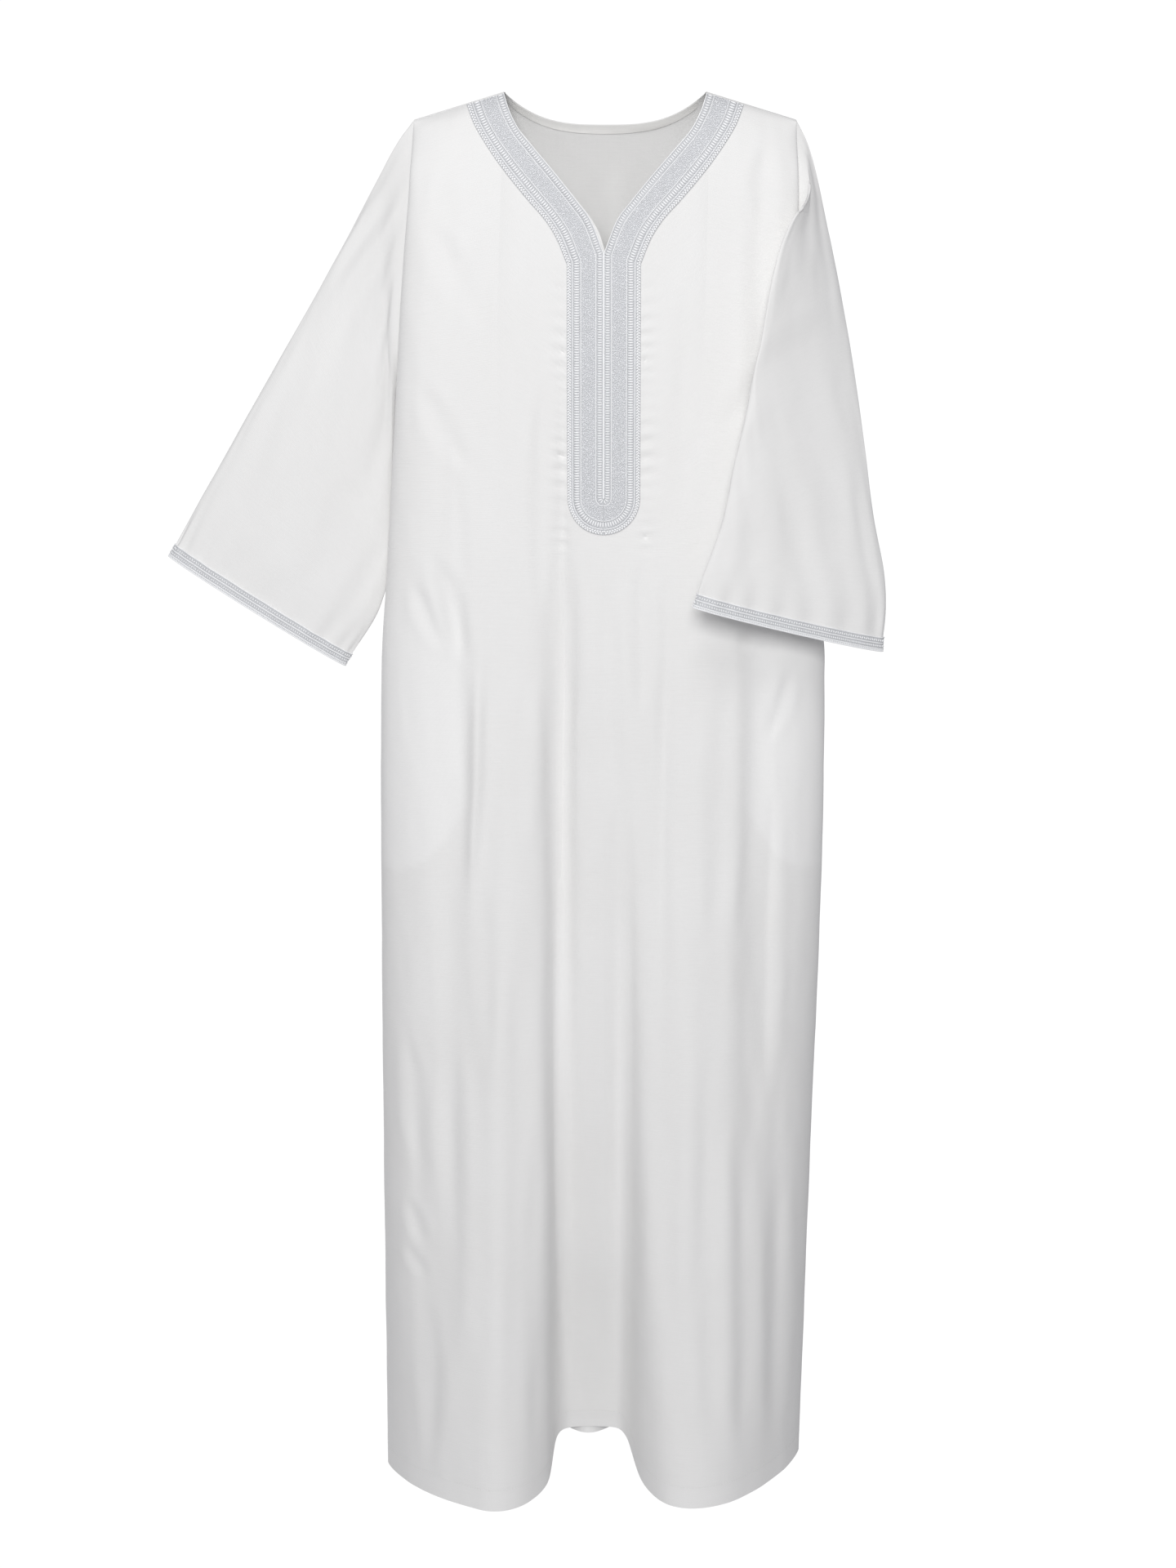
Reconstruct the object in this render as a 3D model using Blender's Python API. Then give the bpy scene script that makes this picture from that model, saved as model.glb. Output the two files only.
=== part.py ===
"""Thobe robe, hanging as it does on its wearer: front, back, two sleeves, neck trim, cuff trims, pockets.

Metres, +Z up. The origin is on the shoulder line, midway between the neck points and level with them.
The front faces -Y. Left and right are the wearer's, so the left sleeve is at +X.
Depths named "down" are measured below the neck points.
"""

import math

import bmesh
import bpy
import numpy as np
from mathutils import Vector
from mathutils.bvhtree import BVHTree

WALL = 0.0012  # cloth of the panels and sleeves
TRIM_WALL = 0.0010  # stitched braid of the neck and cuffs
POCKET_WALL = 0.0010  # both layers of a pocket bag
SEAM_GAP = 0.0004  # between two pieces at a seam
LAY_GAP = 0.0005  # between a panel and what is sewn onto it
LAY_ROUNDS = 4  # rounds of raising what is laid on a panel
LAY_SAMPLES = ((1, 0, 0), (0, 1, 0), (0, 0, 1), (0.5, 0.5, 0), (0, 0.5, 0.5), (0.5, 0, 0.5),
               (0.34, 0.33, 0.33), (0.75, 0.25, 0), (0.25, 0.75, 0), (0, 0.75, 0.25), (0, 0.25, 0.75),
               (0.75, 0, 0.25), (0.25, 0, 0.75), (0.6, 0.2, 0.2), (0.2, 0.6, 0.2), (0.2, 0.2, 0.6))

NECK_X = 0.099  # neck point, from the centre
SHOULDER_X = 0.187  # shoulder tip, from the centre
SHOULDER_SLOPE = 0.30  # fall of the shoulder line for each metre outwards
RIDGE_ROUND = 0.20  # half depth of the shoulder ridge is this times the root of the depth below it
SEAM_DOWN = 0.0016  # the shoulder seam lies this far below the ridge, on its front side
BACK_NECK_DOWN = 0.030  # middle of the back neck
BACK_NECK_ROUND = 3.0  # the larger, the flatter its middle
BACK_NECK_EDGE = 0.0070  # height of the back panel's first row at the neck
LEVEL_DOWN = 0.45  # from here down the rows of a panel are level
ARMPIT_DOWN = 0.285
HEM_DOWN = 1.445

PLACKET_HALF = 0.036
PLACKET_CENTRE = -0.0015
PLACKET_END = 0.427  # lowest point of its round end
CUFF_BAND = 0.014
FACING_HEIGHT = 0.009

FRONT_COLUMNS = 26  # in each half
BACK_COLUMNS = 18
NECK_SHARE = 0.5  # share of a half panel's columns that the neck takes at the top
DENSE = 481  # samples of a section before its points are spaced evenly
FLAT_SHARE = 0.5  # share of the section's parameter for the flat of the panel
TURN_SHARE = 0.82  # and up to the end of the round side

# The front's neckline: how far down its edge is at each distance from the centre
NECKLINE = {
    "columns": ("out", "down"),
    "rows": (
        (0.000, 0.154),
        (0.005, 0.137),
        (0.013, 0.122),
        (0.026, 0.105),
        (0.049, 0.077),
        (0.075, 0.047),
        (0.087, 0.032),
        (0.094, 0.017),
        (0.099, 0.0016),
    ),
}

# Sections of the body. Left and right here are the wearer's: right_* is at -X.
# out is the widest point, seam the side seam or armhole edge, y is the side seam's place front to back,
# gap is half the depth between the front's and the back's widest points, and corner is the round side.
SECTIONS = {
    "columns": ("down", "right_out", "right_seam", "right_y", "left_out", "left_seam", "left_y",
                "front", "back", "gap", "round", "corner"),
    "rows": (
        (0.000, 0.187, 0.187, 0.000, 0.187, 0.187, 0.000, 0.050, 0.052, 0.006, 1.0, 0.045),
        (0.030, 0.187, 0.187, 0.000, 0.187, 0.187, 0.000, 0.052, 0.054, 0.010, 1.0, 0.045),
        (0.085, 0.190, 0.190, 0.000, 0.188, 0.188, 0.000, 0.058, 0.060, 0.030, 1.0, 0.045),
        (0.150, 0.196, 0.196, 0.000, 0.189, 0.1888, 0.000, 0.063, 0.064, 0.035, 1.0, 0.047),
        (0.210, 0.201, 0.2005, 0.000, 0.190, 0.1895, 0.000, 0.066, 0.067, 0.036, 1.0, 0.050),
        (0.285, 0.206, 0.193, 0.000, 0.190, 0.186, 0.000, 0.068, 0.070, 0.036, 1.0, 0.054),
        (0.340, 0.210, 0.181, 0.000, 0.192, 0.187, 0.000, 0.069, 0.071, 0.036, 1.0, 0.058),
        (0.410, 0.215, 0.179, 0.000, 0.199, 0.194, 0.000, 0.070, 0.073, 0.036, 1.0, 0.062),
        (0.480, 0.220, 0.196, 0.000, 0.211, 0.204, 0.002, 0.072, 0.075, 0.035, 1.0, 0.066),
        (0.560, 0.226, 0.217, 0.000, 0.2225, 0.215, 0.004, 0.075, 0.077, 0.033, 1.0, 0.074),
        (0.750, 0.230, 0.225, 0.000, 0.2245, 0.219, 0.010, 0.084, 0.082, 0.030, 1.1, 0.088),
        (1.100, 0.233, 0.228, 0.002, 0.2195, 0.214, 0.022, 0.106, 0.092, 0.025, 1.3, 0.106),
        (1.445, 0.2345, 0.229, 0.008, 0.2150, 0.209, 0.038, 0.128, 0.100, 0.022, 1.7, 0.118),
    ),
}

# Half depth of the armhole, front to back, at each depth
ARMHOLE = {
    "columns": ("down", "half"),
    "rows": (
        (0.028, 0.008),
        (0.050, 0.0145),
        (0.085, 0.024),
        (0.130, 0.029),
        (0.180, 0.030),
        (0.220, 0.028),
        (0.252, 0.021),
        (0.273, 0.011),
        (0.285, 0.000),
    ),
}

# The deep fold at the middle of the front, which opens towards the hem. left and right are the x of its
# steep walls, and the cloth rounds over into them from further out by the shoulders.
RECESS = {
    "columns": ("down", "depth", "left", "right", "left_wall", "right_wall",
                "left_shoulder", "right_shoulder"),
    "rows": (
        (0.560, 0.000, -0.040, 0.021, 0.0080, 0.0080, 0.002, 0.002),
        (0.750, 0.009, -0.043, 0.022, 0.0075, 0.0075, 0.003, 0.003),
        (0.950, 0.026, -0.046, 0.024, 0.0055, 0.0065, 0.004, 0.005),
        (1.150, 0.070, -0.049, 0.027, 0.0036, 0.0052, 0.006, 0.008),
        (1.300, 0.124, -0.052, 0.029, 0.0024, 0.0044, 0.008, 0.011),
        (1.445, 0.180, -0.0535, 0.031, 0.0016, 0.0040, 0.009, 0.014),
    ),
}
SHOULDER_SHARE = 0.48  # share of the fold's depth that its rounded shoulders take
SHOULDER_ROUND = 0.011
RECESS_LIFT = 0.009  # the hem inside the fold hangs this much higher
LIFT_ROUND = 0.008

# Folds: x at their top and bottom, the depths where they start, are deepest and end, half width, depth.
# A positive depth goes into the robe, a negative one is a ridge.
FRONT_FOLDS = {
    "columns": ("x_top", "x_low", "start", "deepest", "end", "half", "depth"),
    "rows": (
        (-0.058, -0.041, 0.24, 0.78, 1.70, 0.013, 0.014),
        (0.014, 0.024, 0.58, 1.05, 1.80, 0.012, 0.010),
        (0.150, 0.152, 0.10, 0.74, 1.36, 0.017, 0.014),
        (-0.152, -0.166, 0.20, 0.84, 1.34, 0.016, 0.011),
        (-0.120, -0.139, 0.47, 0.66, 0.86, 0.007, -0.004),
        (0.088, 0.096, 0.46, 0.95, 1.44, 0.018, -0.006),
        (-0.085, -0.116, 0.42, 0.95, 2.60, 0.024, -0.008),
        (0.062, 0.056, 0.43, 0.66, 1.00, 0.009, 0.005),
        (-0.186, -0.196, 0.80, 1.12, 1.44, 0.012, 0.006),
        (0.180, 0.184, 0.90, 1.15, 1.50, 0.012, 0.005),
    ),
}
BACK_FOLDS = {
    "columns": ("x_top", "x_low", "start", "deepest", "end", "half", "depth"),
    "rows": (
        (-0.020, -0.016, 0.14, 1.40, 2.30, 0.034, 0.042),
        (-0.110, -0.138, 0.22, 1.30, 2.10, 0.020, 0.026),
        (0.096, 0.118, 0.18, 1.36, 2.20, 0.022, 0.030),
        (-0.064, -0.082, 0.30, 1.20, 2.20, 0.021, -0.012),
        (0.040, 0.056, 0.26, 1.25, 2.20, 0.022, -0.014),
        (0.155, 0.168, 0.30, 0.95, 1.60, 0.014, 0.009),
        (-0.168, -0.182, 0.46, 0.90, 1.40, 0.013, 0.008),
        (0.012, 0.020, 0.05, 0.20, 0.40, 0.016, 0.004),
    ),
}

# Sleeves, from the armhole at 0 to the cuff at 1: the upper edge, the lower edge, and the middles of the
# front and of the back. x is outwards from the centre. A ring is round where crease is 1 and folded at
# all four where it is 2. puff parts the two layers on either side of the front's middle.
SLEEVE_COLUMNS = ("along", "top_x", "top_y", "top_z", "low_x", "low_y", "low_z",
                  "front_x", "front_y", "front_z", "back_x", "back_y", "back_z", "crease", "puff")
RIGHT_SLEEVE = {
    "columns": SLEEVE_COLUMNS,
    "rows": (
        (0.00, 0.187, 0.000, -0.0264, 0.193, 0.000, -0.285,
         0.197, -0.030, -0.156, 0.197, 0.030, -0.156, 1.0, 0.000),
        (0.05, 0.203, 0.000, -0.0470, 0.204, 0.000, -0.301,
         0.209, -0.027, -0.174, 0.209, 0.028, -0.174, 1.0, 0.000),
        (0.15, 0.226, 0.000, -0.0870, 0.208, 0.000, -0.331,
         0.219, -0.022, -0.209, 0.219, 0.025, -0.209, 1.0, 0.000),
        (0.35, 0.278, 0.000, -0.1800, 0.210, 0.000, -0.388,
         0.244, -0.019, -0.284, 0.244, 0.021, -0.284, 1.0, 0.000),
        (0.60, 0.344, 0.000, -0.2900, 0.213, 0.000, -0.450,
         0.279, -0.018, -0.370, 0.279, 0.019, -0.370, 1.0, 0.000),
        (0.80, 0.395, 0.000, -0.3760, 0.228, 0.000, -0.506,
         0.312, -0.017, -0.441, 0.312, 0.018, -0.441, 1.0, 0.000),
        (1.00, 0.442, 0.000, -0.4560, 0.266, 0.000, -0.568,
         0.354, -0.016, -0.512, 0.354, 0.017, -0.512, 1.0, 0.000),
    ),
}
LEFT_SLEEVE = {
    "columns": SLEEVE_COLUMNS,
    "rows": (
        (0.00, 0.187, 0.000, -0.026, 0.186, 0.000, -0.285,
         0.188, -0.030, -0.156, 0.188, 0.030, -0.156, 1.0, 0.000),
        (0.05, 0.199, -0.002, -0.050, 0.197, -0.008, -0.300,
         0.198, -0.035, -0.118, 0.202, 0.026, -0.175, 1.3, 0.002),
        (0.12, 0.208, -0.006, -0.082, 0.205, -0.024, -0.310,
         0.188, -0.056, -0.112, 0.210, 0.008, -0.197, 1.6, 0.005),
        (0.20, 0.216, -0.011, -0.118, 0.204, -0.038, -0.317,
         0.170, -0.077, -0.142, 0.213, -0.010, -0.219, 1.8, 0.008),
        (0.28, 0.224, -0.018, -0.154, 0.197, -0.050, -0.324,
         0.158, -0.091, -0.188, 0.211, -0.028, -0.241, 1.8, 0.009),
        (0.36, 0.232, -0.024, -0.192, 0.182, -0.062, -0.335,
         0.150, -0.098, -0.235, 0.207, -0.040, -0.266, 1.7, 0.009),
        (0.43, 0.239, -0.029, -0.228, 0.153, -0.090, -0.352,
         0.143, -0.104, -0.272, 0.204, -0.048, -0.292, 1.5, 0.006),
        (0.52, 0.247, -0.035, -0.275, 0.132, -0.108, -0.371,
         0.147, -0.107, -0.312, 0.200, -0.055, -0.320, 1.3, 0.003),
        (0.75, 0.266, -0.050, -0.405, 0.108, -0.121, -0.425,
         0.173, -0.105, -0.410, 0.194, -0.072, -0.415, 1.1, 0.000),
        (0.92, 0.281, -0.058, -0.499, 0.091, -0.126, -0.470,
         0.178, -0.109, -0.485, 0.190, -0.080, -0.485, 1.0, 0.000),
        (1.00, 0.277, -0.061, -0.544, 0.085, -0.127, -0.490,
         0.176, -0.110, -0.517, 0.186, -0.084, -0.517, 1.0, 0.000),
    ),
}
SLEEVE_BLEND = 0.34  # the sleeve leaves the armhole's own shape over this share of its length
SLEEVE_RINGS = (0.0, 0.03, 0.07, 0.12, 0.18, 0.25, 0.33, 0.43, 0.55, 0.67, 0.78, 0.88)

# Depth of each row at the side edge. Those down to the armpit are the armhole's.
EDGE_ROWS = (0.040, 0.049, 0.062, 0.080, 0.104, 0.133, 0.163, 0.194, 0.223, 0.249, 0.270, ARMPIT_DOWN,
             0.312, 0.350, 0.398)
LOWER_ROWS = 11
ARMPIT_ROW = 1 + EDGE_ROWS.index(ARMPIT_DOWN)  # in the front; the back has one row more above it

# Pocket bags hang inside the front from the side seams: inner edge at each depth, from the centre
POCKET = {
    "columns": ("down", "inner"),
    "rows": (
        (0.430, 0.150),
        (0.470, 0.143),
        (0.690, 0.142),
        (0.730, 0.158),
        (0.755, 0.180),
        (0.770, 0.206),
    ),
}
POCKET_ROWS = 12
POCKET_COLUMNS = 8
POCKET_SEAM_SIDE = 0.93  # the bag starts just inside the side seam, in the section's parameter

# Half of the neck band, from the shoulder seam at 0 to the V at 1
NECK_BAND = {
    "columns": ("along", "inner_out", "inner_down", "outer_out", "outer_down"),
    "rows": (
        (0.00, 0.0985, 0.0030, 0.1350, 0.0135),
        (0.12, 0.0935, 0.0180, 0.1280, 0.0310),
        (0.25, 0.0840, 0.0365, 0.1145, 0.0535),
        (0.38, 0.0690, 0.0545, 0.0970, 0.0775),
        (0.55, 0.0490, 0.0775, 0.0760, 0.1025),
        (0.75, 0.0260, 0.1055, 0.0560, 0.1250),
        (0.87, 0.0130, 0.1225, 0.0460, 0.1410),
        (1.00, 0.0000, 0.1545, 0.0360, 0.1650),
    ),
}
BAND_ROWS = 15
PLACKET_ROWS = 11
ROUND_ROWS = 5
TRIM_COLUMNS = 4  # in each half
FACING_REACH = 0.093  # the back neck binding ends this far from the centre
FACING_COLUMNS = 20

COLOURS = {
    "cloth": ((0.86, 0.86, 0.83, 1.0), 0.75),
    "trim": ((0.62, 0.64, 0.67, 1.0), 0.5),
    "pocket": ((0.88, 0.88, 0.86, 1.0), 0.8),
}


def start_empty():
    for thing in list(bpy.data.objects):
        bpy.data.objects.remove(thing, do_unlink=True)


def make_material(name):
    colour, rough = COLOURS[name]
    material = bpy.data.materials.new(name)
    material.use_nodes = True
    shader = material.node_tree.nodes["Principled BSDF"]
    shader.inputs["Base Color"].default_value = colour
    shader.inputs["Roughness"].default_value = rough
    shader.inputs["Metallic"].default_value = 0.0
    return material


def column(table, name):
    at = table["columns"].index(name)
    return np.array([row[at] for row in table["rows"]], dtype=float)


def read(table, name, where):
    """Smooth value of a named column, by its first column, with no overshoot between the rows."""
    keys = column(table, table["columns"][0])
    values = column(table, name)
    step = np.diff(keys)
    slope = np.diff(values) / step
    tangent = np.zeros(len(values))
    tangent[0] = slope[0]
    tangent[-1] = slope[-1]
    before = slope[:-1]
    after = slope[1:]
    same_way = before * after > 0
    mean = np.zeros(len(before))
    mean[same_way] = 2 * before[same_way] * after[same_way] / (before + after)[same_way]
    tangent[1:-1] = mean
    where = np.asarray(where, dtype=float)
    i = np.clip(np.searchsorted(keys, where, side="right") - 1, 0, len(step) - 1)
    t = np.clip((where - keys[i]) / step[i], 0, 1)
    rise = values[i] * (2 * t**3 - 3 * t**2 + 1) + values[i + 1] * (3 * t**2 - 2 * t**3)
    bend = tangent[i] * (t**3 - 2 * t**2 + t) + tangent[i + 1] * (t**3 - t**2)
    return rise + bend * step[i]


def smooth(t):
    t = np.clip(t, 0, 1)
    return t * t * (3 - 2 * t)


def wall_step(t):
    """0 far before a wall and 1 far past it."""
    return 1 / (1 + np.exp(-np.clip(t, -30, 30)))


def fold_depth(folds, x, down):
    """Total depth of the folds, into the robe."""
    total = np.zeros(np.broadcast(x, down).shape)
    for x_top, x_low, start, deepest, end, half, depth in folds["rows"]:
        along = np.clip((down - start) / (min(end, HEM_DOWN) - start), 0, 1)
        centre = x_top + (x_low - x_top) * along
        grow = smooth((down - start) / (deepest - start)) * smooth((end - down) / (end - deepest))
        total = total + depth * grow * np.exp(-(((x - centre) / half) ** 2))
    return total


def recess_depth(x, down):
    left = x - read(RECESS, "left", down)
    right = read(RECESS, "right", down) - x
    steep_left = wall_step(left / read(RECESS, "left_wall", down))
    steep_right = wall_step(right / read(RECESS, "right_wall", down))
    steep = steep_left * steep_right
    round_left = wall_step((left + read(RECESS, "left_shoulder", down)) / SHOULDER_ROUND)
    round_right = wall_step((right + read(RECESS, "right_shoulder", down)) / SHOULDER_ROUND)
    soft = round_left * round_right
    return read(RECESS, "depth", down) * (SHOULDER_SHARE * soft + (1 - SHOULDER_SHARE) * steep)


def section(face, s, down):
    """Outer surface of the front (face -1) or back (face 1).

    s runs across: -1 at the right side's edge, 0 at the centre and 1 at the left side's edge.
    """
    s, down = np.broadcast_arrays(np.asarray(s, dtype=float), np.asarray(down, dtype=float))
    at_left = s >= 0
    side = np.where(at_left, 1.0, -1.0)
    out = np.where(at_left, read(SECTIONS, "left_out", down), read(SECTIONS, "right_out", down))
    seam = np.where(at_left, read(SECTIONS, "left_seam", down), read(SECTIONS, "right_seam", down))
    seam_y = np.where(at_left, read(SECTIONS, "left_y", down), read(SECTIONS, "right_y", down))
    corner = read(SECTIONS, "corner", down)
    depth = read(SECTIONS, "front" if face < 0 else "back", down)
    far = np.abs(s)
    flat = np.clip(far / FLAT_SHARE, 0, 1)
    turn = np.clip((far - FLAT_SHARE) / (TURN_SHARE - FLAT_SHARE), 0, 1) * math.pi / 2
    tuck = np.clip((far - TURN_SHARE) / (1 - TURN_SHARE), 0, 1)
    x = (out - corner) * flat + corner * np.sin(turn)
    under = np.maximum(down - SHOULDER_SLOPE * np.maximum(x - NECK_X, 0), 0)
    face_y = face * depth * np.tanh(RIDGE_ROUND * np.sqrt(under) / depth)
    gap = np.minimum(read(SECTIONS, "gap", down), np.abs(face_y - seam_y))
    side_y = seam_y + face * gap
    full = np.cos(turn) ** read(SECTIONS, "round", down)
    y = side_y + (face_y - side_y) * full
    folds = FRONT_FOLDS if face < 0 else BACK_FOLDS
    into = fold_depth(folds, side * x, down)
    if face < 0:
        into = into + recess_depth(side * x, down)
    y = y - face * into * np.sqrt(np.cos(turn))
    opening = np.where(down < ARMPIT_DOWN, read(ARMHOLE, "half", down), 0.0)
    end_y = seam_y + face * np.minimum(opening, gap)
    y = y + (end_y - side_y) * tuck
    x = x + (seam - out) * smooth(tuck)
    return np.stack([side * x, y, -down], axis=-1)


def top_x(s):
    """Distance from the centre of a panel's top edge, at s across."""
    far = np.abs(s)
    flat = np.clip(far / FLAT_SHARE, 0, 1)
    turn = np.clip((far - FLAT_SHARE) / (TURN_SHARE - FLAT_SHARE), 0, 1) * math.pi / 2
    corner = SECTIONS["rows"][0][-1]
    return (SHOULDER_X - corner) * flat + corner * np.sin(turn)


def front_top(s):
    x = top_x(s)
    shoulder = SEAM_DOWN + SHOULDER_SLOPE * (x - NECK_X)
    return np.where(x < NECK_X, read(NECKLINE, "down", x), shoulder)


def back_top(s):
    """Ridge of the shoulder, and the back neckline between the neck points."""
    x = top_x(s)
    neck = BACK_NECK_DOWN * (1 - np.minimum(x / NECK_X, 1) ** BACK_NECK_ROUND)
    return np.where(x < NECK_X, neck, SHOULDER_SLOPE * (x - NECK_X))


def hem_down(face, s, point_x):
    if face > 0:
        return np.full(np.shape(s), HEM_DOWN)
    left = point_x - float(read(RECESS, "left", HEM_DOWN))
    right = float(read(RECESS, "right", HEM_DOWN)) - point_x
    lift = wall_step(left / LIFT_ROUND) * wall_step(right / LIFT_ROUND)
    return HEM_DOWN - RECESS_LIFT * lift


def row_points(face, s, row):
    """Points of a panel's row at s across. A row is its depth at the side edge."""
    top = front_top(s) if face < 0 else back_top(s)
    tip = front_top(1.0) if face < 0 else back_top(1.0)
    if row <= LEVEL_DOWN:
        down = top + (LEVEL_DOWN - top) * (row - tip) / (LEVEL_DOWN - tip)
    else:
        level = np.full(np.shape(s), row)
        hem = hem_down(face, s, section(face, s, level)[..., 0])
        down = LEVEL_DOWN + (hem - LEVEL_DOWN) * (row - LEVEL_DOWN) / (HEM_DOWN - LEVEL_DOWN)
    return section(face, s, down)


def even_row(face, row, columns):
    """Values of s that space a row's points evenly, with one column at each neck point on top."""
    tip = float(front_top(1.0) if face < 0 else back_top(1.0))
    halves = []
    for side in (-1.0, 1.0):
        far = np.linspace(0, 1, DENSE)
        points = row_points(face, side * far, row)
        run = np.concatenate([[0], np.cumsum(np.linalg.norm(np.diff(points, axis=0), axis=1))])
        neck_far = np.interp(NECK_X, top_x(far), far)
        neck_run = np.interp(neck_far, far, run) / run[-1]
        blend = smooth((row - tip) / (LEVEL_DOWN - tip))
        share = neck_run + (NECK_SHARE - neck_run) * blend
        count = round(NECK_SHARE * columns)
        inner = np.linspace(0, share, count + 1)
        outer = np.linspace(share, 1, columns - count + 1)[1:]
        fractions = np.concatenate([inner, outer])
        halves.append(side * np.interp(fractions * run[-1], run, far))
    return np.concatenate([halves[0][:0:-1], halves[1]])


def lower_rows():
    steps = np.arange(LOWER_ROWS + 1) / LOWER_ROWS
    return list(LEVEL_DOWN + (HEM_DOWN - LEVEL_DOWN) * steps)


def panel_grid(face, columns):
    """Rows of points from a panel's top edge to its hem."""
    tip = float(front_top(1.0) if face < 0 else back_top(1.0))
    grid = []
    for row in [tip, *EDGE_ROWS, *lower_rows()]:
        grid.append(row_points(face, even_row(face, row, columns), row))
    if face > 0:
        s = even_row(face, tip, columns)
        neck = ~on_shoulder(grid[0])
        grid.insert(0, over_ridge(grid[0], neck))
        grid[1] = np.where(neck[:, None], section(1, s, back_top(s) + BACK_NECK_EDGE), grid[1])
    return np.array(grid)


def on_shoulder(points):
    return np.abs(points[:, 0]) >= NECK_X - 1e-5


def over_ridge(ridge, neck):
    """The back's top edge: it comes over the shoulder to the seam, and follows the neck between."""
    forward = ridge.copy()
    forward[:, 1] = -RIDGE_ROUND * math.sqrt(SEAM_DOWN)
    forward[:, 2] = ridge[:, 2] - SEAM_DOWN
    return np.where(neck[:, None], ridge, forward)


def grid_normals(grid, around=False):
    """Outward unit normals of a grid whose rows go down and whose columns go to +X on the front."""
    down = np.gradient(grid, axis=0)
    if around:
        across = (np.roll(grid, -1, axis=1) - np.roll(grid, 1, axis=1)) / 2
    else:
        across = np.gradient(grid, axis=1)
    return unit(np.cross(down, across))


def unit(vectors):
    return vectors / np.maximum(np.linalg.norm(vectors, axis=-1, keepdims=True), 1e-12)


def draw_in(points, towards, amount):
    """Points moved by an amount towards others."""
    return points + unit(towards - points) * amount


def wall_solid(name, outer, inner, material, around=False):
    """Closed body between two grids of the same size, the outer one facing out."""
    rows, columns = outer.shape[:2]
    mesh = bpy.data.meshes.new(name)
    work = bmesh.new()
    out = [[work.verts.new(p) for p in row] for row in outer]
    into = [[work.verts.new(p) for p in row] for row in inner]
    last = columns if around else columns - 1
    for i in range(rows - 1):
        for j in range(last):
            k = (j + 1) % columns
            work.faces.new((out[i][j], out[i + 1][j], out[i + 1][k]))
            work.faces.new((out[i][j], out[i + 1][k], out[i][k]))
            work.faces.new((into[i][j], into[i + 1][k], into[i + 1][j]))
            work.faces.new((into[i][j], into[i][k], into[i + 1][k]))
    for j in range(last):
        k = (j + 1) % columns
        rim_face(work, out[0][j], out[0][k], into[0][k], into[0][j])
        rim_face(work, out[-1][k], out[-1][j], into[-1][j], into[-1][k])
    if not around:
        for i in range(rows - 1):
            rim_face(work, out[i + 1][0], out[i][0], into[i][0], into[i + 1][0])
            rim_face(work, out[i][-1], out[i + 1][-1], into[i + 1][-1], into[i][-1])
    work.to_mesh(mesh)
    work.free()
    return add_object(name, mesh, material)


def rim_face(work, a, b, c, d):
    work.faces.new((a, b, c))
    work.faces.new((a, c, d))


def with_seam_gaps(outer, inner):
    """Draws a panel's sewn edges in, so that each seam stays open by the gap."""
    half = SEAM_GAP / 2
    sewn_top = on_shoulder(outer[0])
    drawn = []
    for grid in (outer.copy(), inner.copy()):
        grid[0] = np.where(sewn_top[:, None], draw_in(grid[0], grid[1], half), grid[0])
        grid[:, 0] = draw_in(grid[:, 0], grid[:, 1], half)
        grid[:, -1] = draw_in(grid[:, -1], grid[:, -2], half)
        drawn.append(grid)
    return drawn


def share_side_seams(front_normals, back_normals):
    """Gives both panels one normal at each point of the side seams, so their walls end face to face."""
    first = ARMPIT_ROW
    for front_edge, back_edge in ((0, -1), (-1, 0)):
        mean = unit(front_normals[first:, front_edge] + back_normals[first + 1:, back_edge])
        front_normals[first:, front_edge] = mean
        back_normals[first + 1:, back_edge] = mean


def set_shoulder_normals(face, grid, normals):
    """Square to the ridge's slope at the shoulder seam, and to the back's slope along its neck."""
    sewn = on_shoulder(grid[0])
    side = np.sign(grid[0, :, 0])
    flat = np.zeros(len(side))
    forward = RIDGE_ROUND / (2 * math.sqrt(SEAM_DOWN))
    seam = np.stack([SHOULDER_SLOPE * forward * side, flat - 1, flat + forward], axis=-1)
    normals[0] = np.where(sewn[:, None], unit(seam), normals[0])
    if face < 0:
        return
    ridge = unit(np.stack([SHOULDER_SLOPE * side, flat, flat + 1], axis=-1))
    for row in (0, 1):
        backward = RIDGE_ROUND / (2 * np.sqrt(np.maximum(-grid[row, :, 2], SEAM_DOWN)))
        neck = unit(np.stack([flat, flat + 1, backward], axis=-1))
        normals[row] = np.where(sewn[:, None], normals[row], neck)
    normals[1] = np.where(sewn[:, None], ridge, normals[1])


def armhole_places(side):
    """Row and column of each armhole point in the front (-1) or back (1) grid, and of its twin if any.

    The order is up the front on the left side and down the front on the right side.
    """
    front_edge = -1 if side > 0 else 0
    back_edge = 0 if side > 0 else -1
    front = [[(-1, row, front_edge)] for row in range(ARMPIT_ROW + 1)]
    front[0].append((1, 0, back_edge))
    front[-1].append((1, ARMPIT_ROW + 1, back_edge))
    back = [[(1, row, back_edge)] for row in range(1, ARMPIT_ROW + 1)]
    return front[::-1] + back if side > 0 else front + back[::-1]


def armhole_loop(grids, side):
    """Points round an armhole and their turns: 0 on top, pi at the armpit, negative at the back."""
    places = armhole_places(side)
    points = np.array([grids[twins[0][0]][twins[0][1], twins[0][2]] for twins in places])
    at_front = np.array([twins[0][0] < 0 for twins in places])
    front_points = points[at_front] if side < 0 else points[at_front][::-1]
    back_points = points[~at_front] if side > 0 else points[~at_front][::-1]
    front_turn = turn_along(np.concatenate([back_points[:1], front_points]))[1:]
    back_turn = turn_along(np.concatenate([back_points, front_points[-1:]]))[:-1]
    if side > 0:
        return points, np.concatenate([front_turn[::-1], -back_turn])
    return points, np.concatenate([front_turn, -back_turn[::-1]])


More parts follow.
